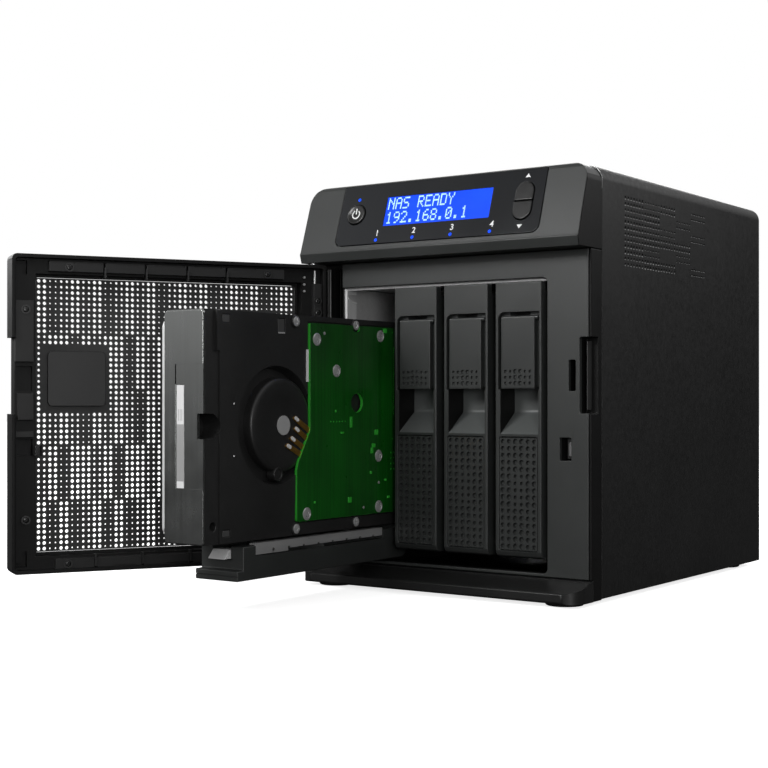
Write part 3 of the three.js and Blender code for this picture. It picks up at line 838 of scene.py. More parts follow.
DIGITS = {
    " ": "00000 00000 00000 00000 00000 00000 00000",
    ".": "00000 00000 00000 00000 00000 01100 01100",
    "0": "01110 10001 10011 10101 11001 10001 01110",
    "1": "00100 01100 00100 00100 00100 00100 01110",
    "2": "01110 10001 00001 00010 00100 01000 11111",
    "6": "00110 01000 10000 11110 10001 10001 01110",
    "8": "01110 10001 10001 01110 10001 10001 01110",
    "9": "01110 10001 10001 01111 00001 00010 01100",
    "A": "01110 10001 10001 11111 10001 10001 10001",
    "D": "11110 10001 10001 10001 10001 10001 11110",
    "E": "11111 10000 10000 11110 10000 10000 11111",
    "N": "10001 11001 10101 10011 10001 10001 10001",
    "R": "11110 10001 10001 11110 10100 10010 10001",
    "S": "01111 10000 10000 01110 00001 00001 11110",
    "Y": "10001 10001 01010 00100 00100 00100 00100",
}


def lcd_text(text, left, top, dot_x=0.73, dot_s=0.9, y=0.0):
    dots = []
    for place, letter in enumerate(text):
        for row, bits in enumerate(DIGITS[letter].split()):
            for column, bit in enumerate(bits):
                if bit == "1":
                    x = left + dot_x * (6 * place + column)
                    s = top - dot_s * row
                    dots.append(box((x, x + 0.88 * dot_x), (y - 0.03, y + 0.05), (s - 0.9 * dot_s, s)))
    return total(dots)


def lettering(text, size, x, s):
    """A printed numeral on the lens, centred on x with its foot at s."""
    curve = bpy.data.curves.new("numeral", "FONT")
    curve.body = text
    curve.size = size
    curve.align_x = "CENTER"
    curve.extrude = 0.02
    curve.offset = 0.06
    holder = bpy.data.objects.new("numeral", curve)
    SCENE.collection.objects.link(holder)
    made = holder.evaluated_get(bpy.context.evaluated_depsgraph_get())
    mesh = made.to_mesh()
    shape = Shape([v.co for v in mesh.vertices], [p.vertices for p in mesh.polygons])
    made.to_mesh_clear()
    bpy.data.objects.remove(holder)
    upright = Matrix.Rotation(math.pi / 2, 4, "X")
    return shape.moved(Matrix.Translation((x, 0, s)) @ upright)


def key_openings(low, high, sides):
    """Room for the round power key and the long scroll key, between two depths from the panel's face."""
    power = rod("y", 5.6, low, high, POWER_KEY, sides)
    return power + prism("y", pill(SCROLL_KEY_X, 5.1, 14.3, 34.0), low, high)


def control_bezel():
    (x0, x1), (y0, y1), (z0, z1) = BEZEL
    rise = Vector((math.sin(LEAN), math.cos(LEAN)))
    foot = Vector((y0, z0))
    lip = [(-109.1, z0 + 0.05), (-110.2, z0 + 4.0), (-110.3, z0 + 4.6)]
    slope = [tuple(foot + rise * s) for s in (5.6, 39.0)]
    crest = [(-99.0, 200.4), (-98.2, 201.4), (-97.0, z1)]
    profile = lip + slope + crest + [(y1, z1), (y1, z0)]
    shoulders = prism("y", arch(x1, z0 - 2, z1, 8.5), -120, -80)
    block = eased(boolean("INTERSECT", prism("x", profile, x0, x1), shoulders), 0.8)
    wall = 2.4
    cavity = [(y0 + 4.6, z0 + wall), (-80, z0 + wall), (-80, z1 - wall), (-96.2, z1 - wall)]
    lens = well("y", window((-58.9, 58.9), (7.6, 40.6), [4.2, 4.2, 0.3, 0.3], 6), 0, 1.5, 0.25)
    display = box((-32, 32), (1, 9), (16.5, 33.5))
    openings = (display + key_openings(1, 9, 32)).moved(SLOPE)
    # Painted shade: a thin skin in the darkest black covers the bezel's right side and stands in for the
    # shade there, while the front stays satin grey.
    side = boolean("INTERSECT", block, box((x1 - 0.55, x1 + 1), (-130, -80), (150, 210))).at(x=0.05)
    piece("bezel_side_shade", side, "black_and_shade", "chassis")
    hole = rod("z", PIN_HOLE, 160, 166, DOOR_PIN)
    block = cut(block, prism("x", cavity, x0 + wall, x1 - wall), lens.moved(SLOPE), openings, hole)
    piece("bezel", block, "satin", "chassis", ["control_bezel"])


def pill(x, half, low, high, steps=14):
    """The outline of an upright slot with round ends."""
    turns = [math.pi * k / steps for k in range(steps + 1)]
    top = [(x + half * math.cos(t), high - half + half * math.sin(t)) for t in turns]
    low_end = [(2 * x - p, low + high - q) for p, q in top]
    return top + low_end


def control_lens():
    outline = rounded(rectangle((-58.5, 58.5), (8, 40.2)), [4, 4, 0.4, 0.4])
    lens = prism("y", outline, 0, 1.2)
    view = prism("y", rounded(rectangle((-30.8, 30.4), (17.2, 32.8)), 0.3), -4, 8)
    lens = eased(cut(lens, key_openings(-4, 8, 40) + view), 0.15)
    piece("lens", lens, "lens", "chassis", ["control_lens"], SLOPE)
    panel = box((-31.2, 30.8), (0.35, 5.5), (16.9, 33.1))
    piece("lcd_panel", eased(panel, 0.1), "lcd", "chassis", ["lcd_module"], SLOPE)
    text = lcd_text("NAS READY", -29.7, 32.2, y=0.33) + lcd_text("192.168.0.1", -29.7, 24.6, y=0.33)
    piece("lcd_characters", text, "lcd_dots", "chassis", place=SLOPE)
    lamp_profile = [(0.95, 0.3), (0.95, 0.05), (0.75, -0.12), (0.3, -0.2)]
    lamp_spots = [(-48.2, 32.7)] + [(x, 9.9) for x in (-33.4, -11.6, 10.4, 32.4)]
    lamps = [turned("y", lamp_profile, at, 20) for at in lamp_spots]
    piece("status_lamps", total(lamps), "led", "chassis", place=SLOPE)
    numerals = [lettering(str(n + 1), 4.3, x, 12.2) for n, x in enumerate((-33.2, -11.3, 10.8, 33.0))]
    arrows = [[(47.2, 36.2), (50.0, 36.2), (48.6, 38.2)], [(46.8, 12.2), (49.6, 12.2), (48.2, 10.2)]]
    marks = total(numerals) + total([prism("y", arrow, -0.04, 0.1) for arrow in arrows])
    piece("printed_marks", marks, "ink", "chassis", place=SLOPE)
    keep("control_board", "board")


def buttons():
    x, s = POWER_KEY
    cap = [(5.3, 4), (5.3, -0.35), (4.95, -0.78), (4.4, -0.8), (4.1, -0.55), (2, -0.45), (0.5, -0.42)]
    piece("power_key_cap", turned("y", cap, POWER_KEY, 48), "gloss", "power_key", ["power_button"], SLOPE)
    gap = 0.55  # half of the opening at the symbol's top, in radians
    arc = []
    for radius in (2.45, 1.85):
        angles = [math.pi / 2 + gap + (math.tau - 2 * gap) * k / 28 for k in range(29)]
        ring = [(x + radius * math.cos(t), s + radius * math.sin(t)) for t in angles]
        arc += ring if radius > 2 else ring[::-1]
    mark = prism("y", arc, -0.62, -0.4) + box((x - 0.3, x + 0.3), (-0.62, -0.4), (24.6, 27.6))
    piece("power_key_mark", mark, "ink", "power_key", place=SLOPE)
    both = prism("y", pill(SCROLL_KEY_X, 4.8, 14.6, 33.7), -0.8, 4)
    for way, heights in {"up": (24.35, 33.7), "down": (14.6, 23.85)}.items():
        key = eased(boolean("INTERSECT", both, box((40, 60), (-2, 5), heights)), 0.5, 3)
        piece(f"{way}_key_cap", key, "gloss", f"{way}_key", [f"{way}_button"], SLOPE)


# ---------------------------------------------------------------- bay doors
# The ramp of a bay door's finger recess, as depth and height.
RAMP = rounded([(-106, 71.3), (-85.5, 86.5), (-85.5, 99), (-106, 99)], [0.02, 2.6, 0.02, 0.02], 8)


def bay_leaf(width, front, top):
    """The door with its recesses, slots and pin holes, and the barrel that it turns on."""
    back, bottom = -84.0, 18.1
    profile = [
        (front, bottom + 3), (front + 1.2, bottom + 0.8), (front + 3, bottom), (back, bottom),
        (back, top - 4), (front + 4.7, top - 4), (front + 4.7, top), (front, top),
    ]
    leaf = eased(prism("x", profile, 0, width), 0.6)
    tools = [
        box((-1, width + 1), (front + 2.0, front + 2.6), (top - 0.8, top + 1)),
        prism("x", RAMP, 2.8, 23.4),
        well("y", window((1.6, 23.7), (97.5, 134.1), [0.3, 0.3, 0.3, 3.2], 6), front, front + 2.7, 0.25),
        well("y", window((2.1, 22.9), (21.4, 75.2), 1.0), front, front + 2.2, 0.3),
        box((6.8, 17.8), (front + 2.4, -80), (120.6, 141)),
        box((6.8, 17.8), (-90.2, -80), (140.8, 150)),
        box((20.4, width + 1), (-88.6, -80), (38, 136)),
        rod("x", PIN_HOLE, -1, width + 1, BAY_HINGE, 24),
        rod("x", 1.5, 5, 19.6, LATCH_PIVOT, 24),
    ]
    barrel = [(PIN_HOLE, 0.05), (6.2, 0.05), (6.2, width - 0.05), (PIN_HOLE, width - 0.05)]
    return cut(leaf, *tools) + turned("x", barrel, BAY_HINGE, 40, ring=True)


def bay_dimples(front):
    """The dimpled panel in the lower part of the door."""
    # One word for each row from the top, one letter for each column: large, medium or small.
    words = ["MMLLMM"] * 5 + ["LLSSLL"] * 5 + ["MMLLMM"] * 6
    radii = {"L": 1.36, "M": 1.16, "S": 0.94}
    columns = evenly(2.3, 22.7, len(words[0]))
    rows = evenly(21.9, 74.7, len(words))

    def pit_size(i, j):
        return (radii[words[len(words) - 1 - j][i]],) * 2

    def to_point(p, q, depth):
        return (p, front + 0.3 + depth, q)

    return perforated(columns, rows, (0, 1.7), pit_size, to_point, [(0.72, 1.2)], True)


def bay_flap(front):
    """The flap that is pulled, with three rows of dimples, and the round bar along its top."""
    radii = (0.82, 0.82, 1.16, 1.16, 0.82, 0.82)
    columns = [3.35] + evenly(4.3, 20.2, len(radii)) + [20.95]
    rows = [98.15, 99.2] + evenly(99.2, 107.5, 3)[1:] + [131.35]

    def dimple_size(i, j):
        if not (0 < i < 7 and 0 < j < 4):
            return None
        return (radii[i - 1],) * 2

    def to_point(p, q, depth):
        return (p, front + 0.1 + depth, q)

    flap = perforated(columns, rows, (0, 2), dimple_size, to_point, [(0.6, 0.8)], True, edge=0.25)
    bar = [(0.5, 2.9), (1.0, 3.4), (1.0, 22.6), (0.5, 23.1)]
    return flap + turned("x", bar, (front + 1.15, 131.4), 20)


def bay_door_shapes():
    """A bay door with its flap, tooth and rail, drawn with the door's left edge at x = 0."""
    (x0, x1), (front, _), (_, top) = span("bay_door_2")
    arm = [
        (-97, 122), (-87.5, 122), (-85.5, 125), (-85.5, 140.4),
        (-89.7, 140.4), (-89.7, 131.6), (-97, 131.6),
    ]
    lever = eased(prism("x", arm, 7.3, 17.3), 0.3) + rod("x", 1.2, 5.3, 19.3, LATCH_PIVOT, 16)
    tooth = prism("x", [(-85.5, 139.5), (-85.5, 144.6), (-89.7, 148.3), (-89.7, 139.5)], 7.3, 17.3)
    rail_holes = [rod("x", 0.9, 0, 30, (-86.9, z), 16) for z in range(46, 134, 11)]
    rail = cut(cad_shape("bay_rail_2").at(x=-x0), total(rail_holes))
    # Painted light and shade: a thin lighter skin over the ramp of the finger recess stands in for the light
    # falling on it from above, and a dark plate on the recess's left wall stands in for the shade there.
    raised = [(y - 0.15, z + 0.12) for y, z in RAMP]
    above = box((0, 30), (-110, front + 0.15), (60, 110))
    lit_ramp = cut(prism("x", RAMP, 3.0, 23.3), prism("x", raised, 2, 25), above)
    ramp_side_shade = prism("x", [(-98.9, 76.8), (-85.7, 86.6), (-85.7, 98.8), (-98.9, 98.8)], 2.7, 2.95)
    return {
        "leaf": (bay_leaf(x1 - x0, front, top), "door", "door", ["bay_door_%d"]),
        "lit_ramp": (lit_ramp, "lit_ramp", "door", []),
        "ramp_side_shade": (ramp_side_shade, "black_and_shade", "door", []),
        "dimples": (bay_dimples(front), "door", "door", []),
        "rail": (rail, "steel", "door", ["bay_rail_%d"]),
        "flap": (bay_flap(front), "door", "latch", ["bay_latch_%d"]),
        "lever": (lever, "plastic", "latch", []),
        "tooth": (eased(tooth, 0.4), "tooth", "latch", []),
    }


def bay_doors():
    shapes = bay_door_shapes()
    pitch = span("bay_door_3")[0][0] - span("bay_door_2")[0][0]
    left = span("bay_door_2")[0][0] - pitch
    for bay in range(1, 5):
        place = Matrix.Translation((left + pitch * (bay - 1), 0, 0))
        if bay == 1:
            place = FOLDED @ place
        for part, (shape, look, body, nodes) in shapes.items():
            stands_for = [n % bay for n in nodes]
            piece(f"bay_{bay}_{part}", shape, look, f"bay_{bay}_{body}", stands_for, place)


# ---------------------------------------------------------------- drives
LONG, TALL, WIDE = 147.0, 101.6, 26.1  # the size of a 3.5 inch drive
FACE = WIDE - 1.3  # the casting's side under the circuit board
BOARD_TOP = FACE + 1.0
BOARD_HOLE = (110.4, 60.9)


def drive_casting():
    """The casting, the motor's flange and cap, and the small pads and points beside them."""
    hub = (50.1, 50.9)
    step = [(-1, -1), (11, -1), (11, 84), (8.5, 84), (8.5, TALL + 1), (-1, TALL + 1)]
    bed = [(63.2, 5.4), (LONG + 1, 5.4), (LONG + 1, TALL - 2.4), (73, TALL - 2.4), (73, 48.2), (64.3, 33.8)]
    tools = [
        prism("x", rectangle((28.6, LONG + 2), (-1, TALL + 1)), FACE, WIDE + 1),
        prism("x", rectangle((11, 28.7), (-1, TALL + 1)), WIDE - 0.9, WIDE + 1),
        prism("x", step, WIDE - 1.5, WIDE + 1),
        turned("x", [(28, WIDE + 0.4), (26.8, FACE - 0.4), (25.6, FACE - 5)], hub, 72),
        prism("x", bed, FACE - 1.4, WIDE + 1),
        box((14, WIDE + 1), (-1, 5.2), (45.7, 56.7)),
        rod("x", 5.4, WIDE - 11, WIDE + 1, (6.2, 51.2), 32),
        well("x", window((12.8, 17.8), (96, 99.8)), WIDE - 0.9, WIDE - 1.5, 0.2),
        well("x", window((12.8, 17.8), (2.8, 6)), WIDE - 0.9, WIDE - 1.5, 0.2),
        well("x", window((51.2, 56.4), (92.6, 99.6)), FACE, FACE - 1.2, 0.2),
        well("x", disc(1.9, (7.4, 7.8), 24), WIDE - 1.5, WIDE - 6, 0.4),
    ]
    casting = cut(eased(box((2.6, WIDE), (1.4, LONG), (0, TALL)), 0.5), *tools)
    profile = [
        (21.8, FACE - 5.2), (21.8, FACE - 1.4), (20.8, FACE - 0.4), (19, FACE),
        (14, FACE), (13.4, FACE - 0.3), (6, FACE - 0.3),
    ]
    beyond = [(73.1, 0), (90, 0), (90, TALL), (73.1, TALL), (73.1, 48.2), (63.9, 33)]
    flange = cut(turned("x", profile, (54.4, hub[1]), 72), prism("x", beyond, 0, 40))
    profile = [
        (3.4, FACE - 4), (3.4, FACE - 0.1), (3.0, FACE + 0.25), (2.6, FACE + 0.25), (2.3, FACE - 0.3),
    ]
    boss = turned("x", profile, (51.3, 28.6), 28)
    pads = [box((WIDE - 1.6, WIDE - 1.05), (13.1, 17.5), zs) for zs in ((96.3, 99.6), (3, 5.7))]
    pads += [box((FACE - 1.3, FACE - 0.3), (51.5, 56.1), (92.9, 99.4))]
    ledge = eased(box((FACE - 0.4, FACE + 0.05), (51.5, 56.1), (92.7, 93.3)), 0.08)
    marks = [rod("x", 0.45, WIDE - 1.2, WIDE - 0.85, (20.4, z), 12) for z in (60.9, 37.9)]
    marks += [box((FACE - 0.4, FACE + 0.6), (71.6, 72.8), (70.8, 85.9))]
    cap = turned("x", [(4.5, FACE - 0.6), (4.5, FACE + 0.1), (4.3, FACE + 0.2)], (55.2, 50.8), 36)
    return {
        "casting": (casting, "casting"),
        "motor_flange": (flange + boss, "casting"),
        "side_pads": (eased(total(pads), 0.15), "pad"),
        "pad_ledge": (ledge, "label_grey"),
        "test_points": (total(marks), "label"),
        "motor_cap": (cap, "label_grey"),
    }


def drive_covers():
    """The lid on the far side, and the skin over the front end with its blank label."""
    lid = eased(prism("x", rounded(rectangle((0.3, LONG - 3), (3.6, TALL - 4)), 3.5, 6), 1.2, 3.0), 0.5)
    outline = rounded(rectangle((2.4, WIDE - 0.9), (0.3, TALL - 0.3)), [2, 1, 1.6, 2.4])
    skin = cut(
        eased(prism("y", outline, 0.35, 2.2), 0.5),
        box((9, 30), (-1, 0.65), (24.2, 78)),
        box((9, 9.4), (-1, 1.3), (69.2, 78)),
        box((21.6, 30), (-1, 5), (45.7, 56.7)),
    )
    strip = eased(box((9.9, 14.1), (0.35, 0.9), (24.4, 68.9)), 0.12)
    shade = eased(box((9.95, 14.05), (0.3, 0.5), (27.4, 52)), 0.08)
    lines = [box((10.9 + 1.0 * k, 11.2 + 1.0 * k), (0.32, 0.4), (53.5, 58.5)) for k in range(3)]
    return {
        "lid": (lid, "lid_rim"),
        "end_skin": (skin, "lid"),
        "label": (strip, "label"),
        "label_shade": (shade + total(lines), "label_grey"),
    }


def circuit_board():
    corners = [
        (63.9, 6.2), (LONG - 1, 6.2), (LONG - 1, TALL - 3.2), (112.6, TALL - 3.2), (112.6, 95.4),
        (107.4, 95.4), (107.4, TALL - 3.2), (73.7, TALL - 3.2), (73.7, 48), (65, 33.6), (63.9, 30),
    ]
    outline = rounded(corners, [1, 1, 1, 0.2, 1, 1, 0.2, 1, 2, 1, 2], 4)
    board = eased(prism("x", outline, FACE - 0.6, BOARD_TOP), 0.12)
    board = cut(board, well("x", disc(4.8, BOARD_HOLE, 36), BOARD_TOP, 0, 0.15))
    rim = prism("x", outline, FACE - 0.5, FACE + 0.84).moved(Matrix.Translation((0, -0.06, -0.06)))
    rim = cut(rim, rod("x", 4.74, 0, 40, BOARD_HOLE, 36))
    return {"circuit": (board, "board"), "board_rim": (rim, "green_part")}


def drive_fixings():
    """The board's screws with their washers, and the screws in the casting's edges with their collars."""
    top = BOARD_TOP
    spots = [(78.5, 90.8), (129.9, 94), (93.8, 76.2), (128.3, 34.5), (128.4, 9.4), (70.9, 9.4)]
    heads = screws([(top + 0.05, y, z) for y, z in spots], (1, 0, 0), 2.1, 0.28, star=True)
    profile = [(3.0, top - 0.2), (3.0, top + 0.2), (2.6, top + 0.45), (2.2, top + 0.45), (2.0, top)]
    washers = [turned("x", profile, at, 28, ring=True) for at in spots]
    profile = [(0.75, top - 0.1), (0.75, top + 0.2), (0.4, top + 0.3)]
    small = [turned("x", profile, at, 14) for at in ((84.2, 93.8), (115.6, 9.6), (128.4, 21.3))]
    studs = [(63.4, 98.6), (109.7, 98.6), (63.4, 3), (109.7, 3)]
    profile = [(2.95, 18), (2.95, WIDE - 0.7), (2.6, WIDE - 0.4)]
    collars = [turned("x", profile, at, 28) for at in studs]
    stud_heads = screws([(WIDE - 0.5, y, z) for y, z in studs], (1, 0, 0), 2.3, 0.5)
    return {
        "board_screws": (heads + total(small), "screw"),
        "board_washers": (total(washers), "screw"),
        "stud_collars": (total(collars), "casting"),
        "stud_heads": (stud_heads, "screw"),
    }


def board_parts():
    """Chips, as y and z of the middle and both sizes, and the solder points."""
    top = BOARD_TOP
    parts = [
        (105.2, 51.6, 1.6, 5.2), (126.2, 46.3, 2.6, 2.6), (123.8, 39.8, 2.6, 2), (122.4, 37.4, 1.8, 2.8),
        (104.1, 14, 2.6, 2.6), (136.6, 13.7, 2, 1.2), (134, 22.4, 1.2, 1.2), (121.6, 26.5, 1.4, 1.4),
        (76.6, 14.4, 1, 1), (133.6, 96.8, 2.6, 2.2), (93, 57, 0.8, 1.2), (98, 46.6, 2.4, 0.9),
    ]
    chips = []
    for y, z, a, b in parts:
        chips.append(box((top - 0.1, top + 0.45), (y - a / 2, y + a / 2), (z - b / 2, z + b / 2)))
    dots = [(89.2 + 2.3 * k, 52) for k in range(6)] + [(141.3, 55.4 + 1.1 * k) for k in range(31)]
    dots += [(y, 27.5 + 2.75 * k) for y in (139, 141.6) for k in range(4)] + [(140.3, 42.7), (140.3, 96.2)]
    vias = [turned("x", [(0.42, top - 0.1), (0.42, top + 0.05), (0.2, top + 0.12)], at, 8) for at in dots]
    return {
        "components": (eased(total(chips), 0.1), "green_part"),
        "solder_points": (total(vias), "green_part"),
    }


def motor_contacts():
    """Four flexible contacts between the motor and the board, each with a metal tip."""
    ends = (
        ((62.6, 54.4), (74.4, 47.6)),
        ((63, 49.6), (72.6, 44)),
        ((60, 45.2), (70.6, 39.6)),
        ((57, 41.8), (68.6, 36.6)),
    )
    fingers, tips = [], []
    for near, far in ends:
        a, b = Vector(near), Vector(far)
        ahead = (b - a).normalized()
        across = ahead.orthogonal() * 1.15
        outline = [tuple(v) for v in (a - across, b - across * 1.2, b + across * 1.2, a + across)]
        fingers.append(prism("x", rounded(outline, [1.1, 0.1, 0.1, 1.1]), FACE - 0.5, FACE + 0.35))
        end = a + ahead * 3.4
        side = across * 0.75
        outline = [tuple(v) for v in (a - side, end - side, end + side, a + side)]
        tips.append(eased(prism("x", rounded(outline, 0.8, 3), FACE, FACE + 0.7), 0.15))
    return {
        "motor_contacts": (eased(total(fingers), 0.12), "gold"),
        "contact_tips": (total(tips), "tooth"),
    }


def drive_shapes():
    """One disk drive by piece: x from its left side, y from its front end, z from its lower long side."""
    shapes = drive_casting()
    for group in (drive_covers(), circuit_board(), drive_fixings(), board_parts(), motor_contacts()):
        shapes.update(group)
    return shapes


def drives():
    shapes = drive_shapes()
    (x2, _), (y2, _), (z2, _) = span("drive_2")
    pitch = span("drive_3")[0][0] - x2
    out = span("drive_1_casting")[1][0] - y2
    for bay in range(1, 5):
        place = Matrix.Translation((x2 + pitch * (bay - 2), y2 + (out if bay == 1 else 0), z2))
        stands = {"casting": [f"drive_{bay}"]}
        if bay == 1:
            stands = {"casting": ["drive_1_casting"], "lid": ["drive_1_lid"], "circuit": ["drive_1_board"]}
        for part, (shape, look) in shapes.items():
            name = f"disk_{bay}_{part}"
            piece(name, shape, look, f"drive_{bay}_unit", stands.get(part, ()), place)


# ---------------------------------------------------------------- front door
def door_moulding(deck):
    """The door's frame; deck is the depth of its sunk inner face."""
    (x0, x1), (y0, y1), (z0, z1) = span("door_frame", SWUNG)
    hole_x, hole_z = (-66.4, 65.6), (19.9, 151.2)
    ring = eased(prism("y", rounded(rectangle((x0, x1), (z0, z1)), [1, 2.5, 2.5, 1]), y0, y1), 0.35)
    corner_slots = [
        [(70.8, 151.8), (73, 151.8), (73, 156.4), (76.2, 156.4), (76.2, 158.4), (70.8, 158.4)],
        [(70.8, 13.9), (76.2, 13.9), (76.2, 15.9), (73, 15.9), (73, 21.3), (70.8, 21.3)],
    ]
    tools = [
        well("y", window((x0 + 1.8, x1 - 1.8), (z0 + 1.8, z1 - 1.8), 1.5), y1, deck, 0.2),
        prism("y", rounded(rectangle(hole_x, hole_z), 1.5), -125, -90),
        box((hole_x[0] - 1.2, hole_x[1] + 1.2), (y0 + 2.4, -90), (hole_z[0] - 1.2, hole_z[1] + 1.2)),
        box((x1 - 1.9, x1 + 9), (-120, -90), (86, 122)),
        rod("z", PIN_HOLE, 5, 170, DOOR_PIN, 24),
        box((68.4, 75.9), (deck - 3, -90), (97, 108.6)),
        box((68.2, 75.4), (deck - 3, -90), (66.4, 74.2)),
    ]
    tools += [prism("y", outline, deck - 3, -90) for outline in corner_slots]
    piece("door_moulding", cut(ring, *tools), "black_and_shade", "front_door", ["door_frame"], SWUNG)


def door_pads(deck):
    """Raised pads on the inner face, with slots in the ones along the top and bottom."""
    # The x and z ranges of each pad, and how far it stands out.
    pads = [
        ((68.1, 76.7), (110.5, 139.5), 3.2), ((68.1, 75.7), (83.2, 95.9), 3.0),
        ((68.1, 77.3), (75, 78), 3.2), ((68.1, 76.7), (26.8, 48), 3.2), ((68.1, 73), (48, 50), 3.2),
        ((68.1, 76.7), (50, 64.3), 3.2), ((-77.4, -73), (28, 151.8), 3),
    ]
    along_top = ((61, 34.2, 13.9, -6.9, -27, -58), (153.4, 158.3))
    along_bottom = ((58, 38.4, 15.4, -8.6, -31.6, -56), (12.6, 17.6))
    for edges, zs in (along_top, along_bottom):
        pads += [((right + 0.9, left), zs, 3.2) for left, right in zip(edges, edges[1:])]
    raised = total([eased(box(xs, (deck - 0.2, deck + rise), zs), 0.3) for xs, zs, rise in pads])
    # Each slot's end at the greater x, its length and its z range.
    slots = [
        (60, 11, (157.4, 160)), (48, 12, (157.4, 160)), (29, 14, (157.4, 160)), (10, 15, (157.4, 160)),
        (-10, 14, (157.4, 160)), (-30, 12, (157.4, 160)), (50, 10, (16.4, 18)), (30, 11, (12, 13.6)),
        (4, 11, (12, 13.6)), (-14, 13, (16.4, 18)),
    ]
    tools = [box((x - length, x), (deck + 2.5, -90), zs) for x, length, zs in slots]
    piece("door_pads", cut(raised, total(tools)), "pads", "front_door", place=SWUNG)


def door_fixings(deck, back):
    """Posts, pegs and screws on the inner face."""
    posts = []
    for x in (34.4, 14.1, -6.7, -26.8):
        posts.append(box((x - 0.4, x + 0.4), (deck - 0.2, back - 0.6), (150.9, 156)))
    for x in (38.9, 15.9, -8.1, -31.1):
        posts.append(box((x - 0.4, x + 0.4), (deck - 0.2, back - 0.8), (13.4, 19)))
    piece("door_posts", total(posts), "plastic", "front_door", place=SWUNG)
    pegs = [rod("y", 0.6, deck - 0.5, deck + 1, (-68.7, z), 14) for z in (155, 151.4, 148)]
    pegs.append(rod("z", 0.5, 151.5, 158.5, (-74.1, deck + 1.6), 16))
    piece("door_pegs", total(pegs), "steel", "front_door", place=SWUNG)
    spots = [(51.5, 155.6), (-48, 155.6), (52, 15), (71.9, 135.2), (71.9, 36.3), (-75.2, 143), (-75.2, 137)]
    heads = screws([(x, deck + 3.2, z) for x, z in spots], (0, 1, 0), 1.4, 0.5)
    piece("door_screws", heads, "gloss", "front_door", place=SWUNG)
    profile = [(2.1, deck + 3), (2.1, deck + 3.7), (1.5, deck + 3.7), (1.5, deck + 3)]
    collars = [turned("y", profile, at, 24, ring=True) for at in spots]
    piece("door_screw_collars", total(collars), "plastic", "front_door", place=SWUNG)


def door_sheet():
    """The perforated sheet, without holes round the badge."""
    (x0, x1), depths, (z0, z1) = span("door_mesh", SWUNG)
    (badge_x0, badge_x1), _, (badge_z0, badge_z1) = span("door_badge", SWUNG)
    margin = 1.6
    count = 49
    # For each block of rows from the top: how many rows, and the hole sizes of the columns from the free
    # edge, which repeat: large, medium or small.
    blocks = (
        (10, "LLSSMMLLMM"), (10, "MMLLLLSSLL"), (10, "LLMMLLMMSS"),
        (10, "MMLLSSLLLL"), (9, "LLSSLLSSMM"),
    )
    words = [word for depth, word in blocks for _ in range(depth)]
    radii = {"L": 0.87, "M": 0.66, "S": 0.44}

    def cell_edges(first, last, start, end):
        """Edges of the cells whose holes run from first to last; the outer cells reach start and end."""
        pitch = (last - first) / (count - 1)
        return [start] + evenly(first - pitch / 2, last + pitch / 2, count)[1:-1] + [end]

    columns = cell_edges(-64.6, 63.9, x0, x1)
    rows = cell_edges(21.6, 149.5, z0, z1)

    def hole_size(i, j):
        x, z = (columns[i] + columns[i + 1]) / 2, (rows[j] + rows[j + 1]) / 2
        if badge_x0 - margin < x < badge_x1 + margin and badge_z0 - margin < z < badge_z1 + margin:
            return None
        word = words[count - 1 - j]
        return (radii[word[(count - 1 - i) % len(word)]],) * 2

    def to_point(p, q, depth):
        return (p, depth, q)

    sheet = perforated(columns, rows, depths, hole_size, to_point)
    piece("door_sheet", sheet, "sheet", "front_door", ["door_mesh"], SWUNG)


def door_badge(front):
    """A square boss with a blank plate; front is the frame's outer face."""
    (x0, x1), ys, (z0, z1) = span("door_badge", SWUNG)
    sheet_front = span("door_mesh", SWUNG)[1][0]
    boss = eased(prism("y", rounded(rectangle((x0, x1), (z0, z1)), 2.2), *ys), 0.3)
    piece("badge_boss", boss, "plastic", "front_door", ["door_badge"], SWUNG)
    outline = rounded(rectangle((x0 + 2, x1 - 2), (z0 + 2, z1 - 2)), 1.6)
    blank = eased(prism("y", outline, front + 0.1, sheet_front + 0.05), 0.25)
    piece("badge_plate", blank, "aluminium", "front_door", place=SWUNG)


def front_door():
    front, back = span("door_frame", SWUNG)[1]
    deck = back - 4.5
    door_moulding(deck)
    door_pads(deck)
    door_fixings(deck, back)
    door_sheet()
    door_badge(front)
    piece("hook", cad_shape("door_hook", 0.3), "gloss", "front_door", ["door_hook"])


# ---------------------------------------------------------------- inside and rear
def inside():
    dividers = ["bay_divider_1", "bay_divider_2", "bay_divider_3"]
    for node in ["cage_left_wall", "cage_right_wall", "cage_roof", "cage_floor"] + dividers:
        keep(node, "cage", 0.15)
    keep("bay_hinge_rod", "steel", 0.1)
    keep("heatsink", "aluminium", 0.2)
    keep("backplane_board", "board")
    keep("main_board", "board")
    for bay in range(1, 5):
        keep(f"sata_connector_{bay}", "chip", 0.3)
    for node in ("ethernet_jacks", "usb_jacks", "power_inlets"):
        keep(node, "steel", 0.2)
    (x0, x1), (_, back), _ = span("ethernet_jacks")
    middle = (x0 + x1) / 2
    pins = []
    for z in (62.5, 78.0):
        for k in range(8):
            xs = (middle - 4.4 + 1.2 * k, middle - 4.0 + 1.2 * k)
            pins.append(box(xs, (back - 9, back - 1.5), (z + 7.6, z + 8.6)))
    piece("ethernet_pins", total(pins), "gold", "chassis")
    tongues = []
    for z in (99.5, 108.5):
        tongues.append(eased(box((64.6, 75.4), (back - 10, back - 1), (z + 3.4, z + 5.2)), 0.2))
    piece("usb_tongues", total(tongues), "chip", "chassis")
    prong = [(0.5, back - 8), (0.5, back - 1.6), (0.3, back - 1.2)]
    spots = [(70 + 1.6 * i, z + 1.6 * k) for z in (28, 44) for i in (-1, 1) for k in (-1, 1)]
    piece("power_prongs", total([turned("y", prong, at, 12) for at in spots]), "gold", "chassis")


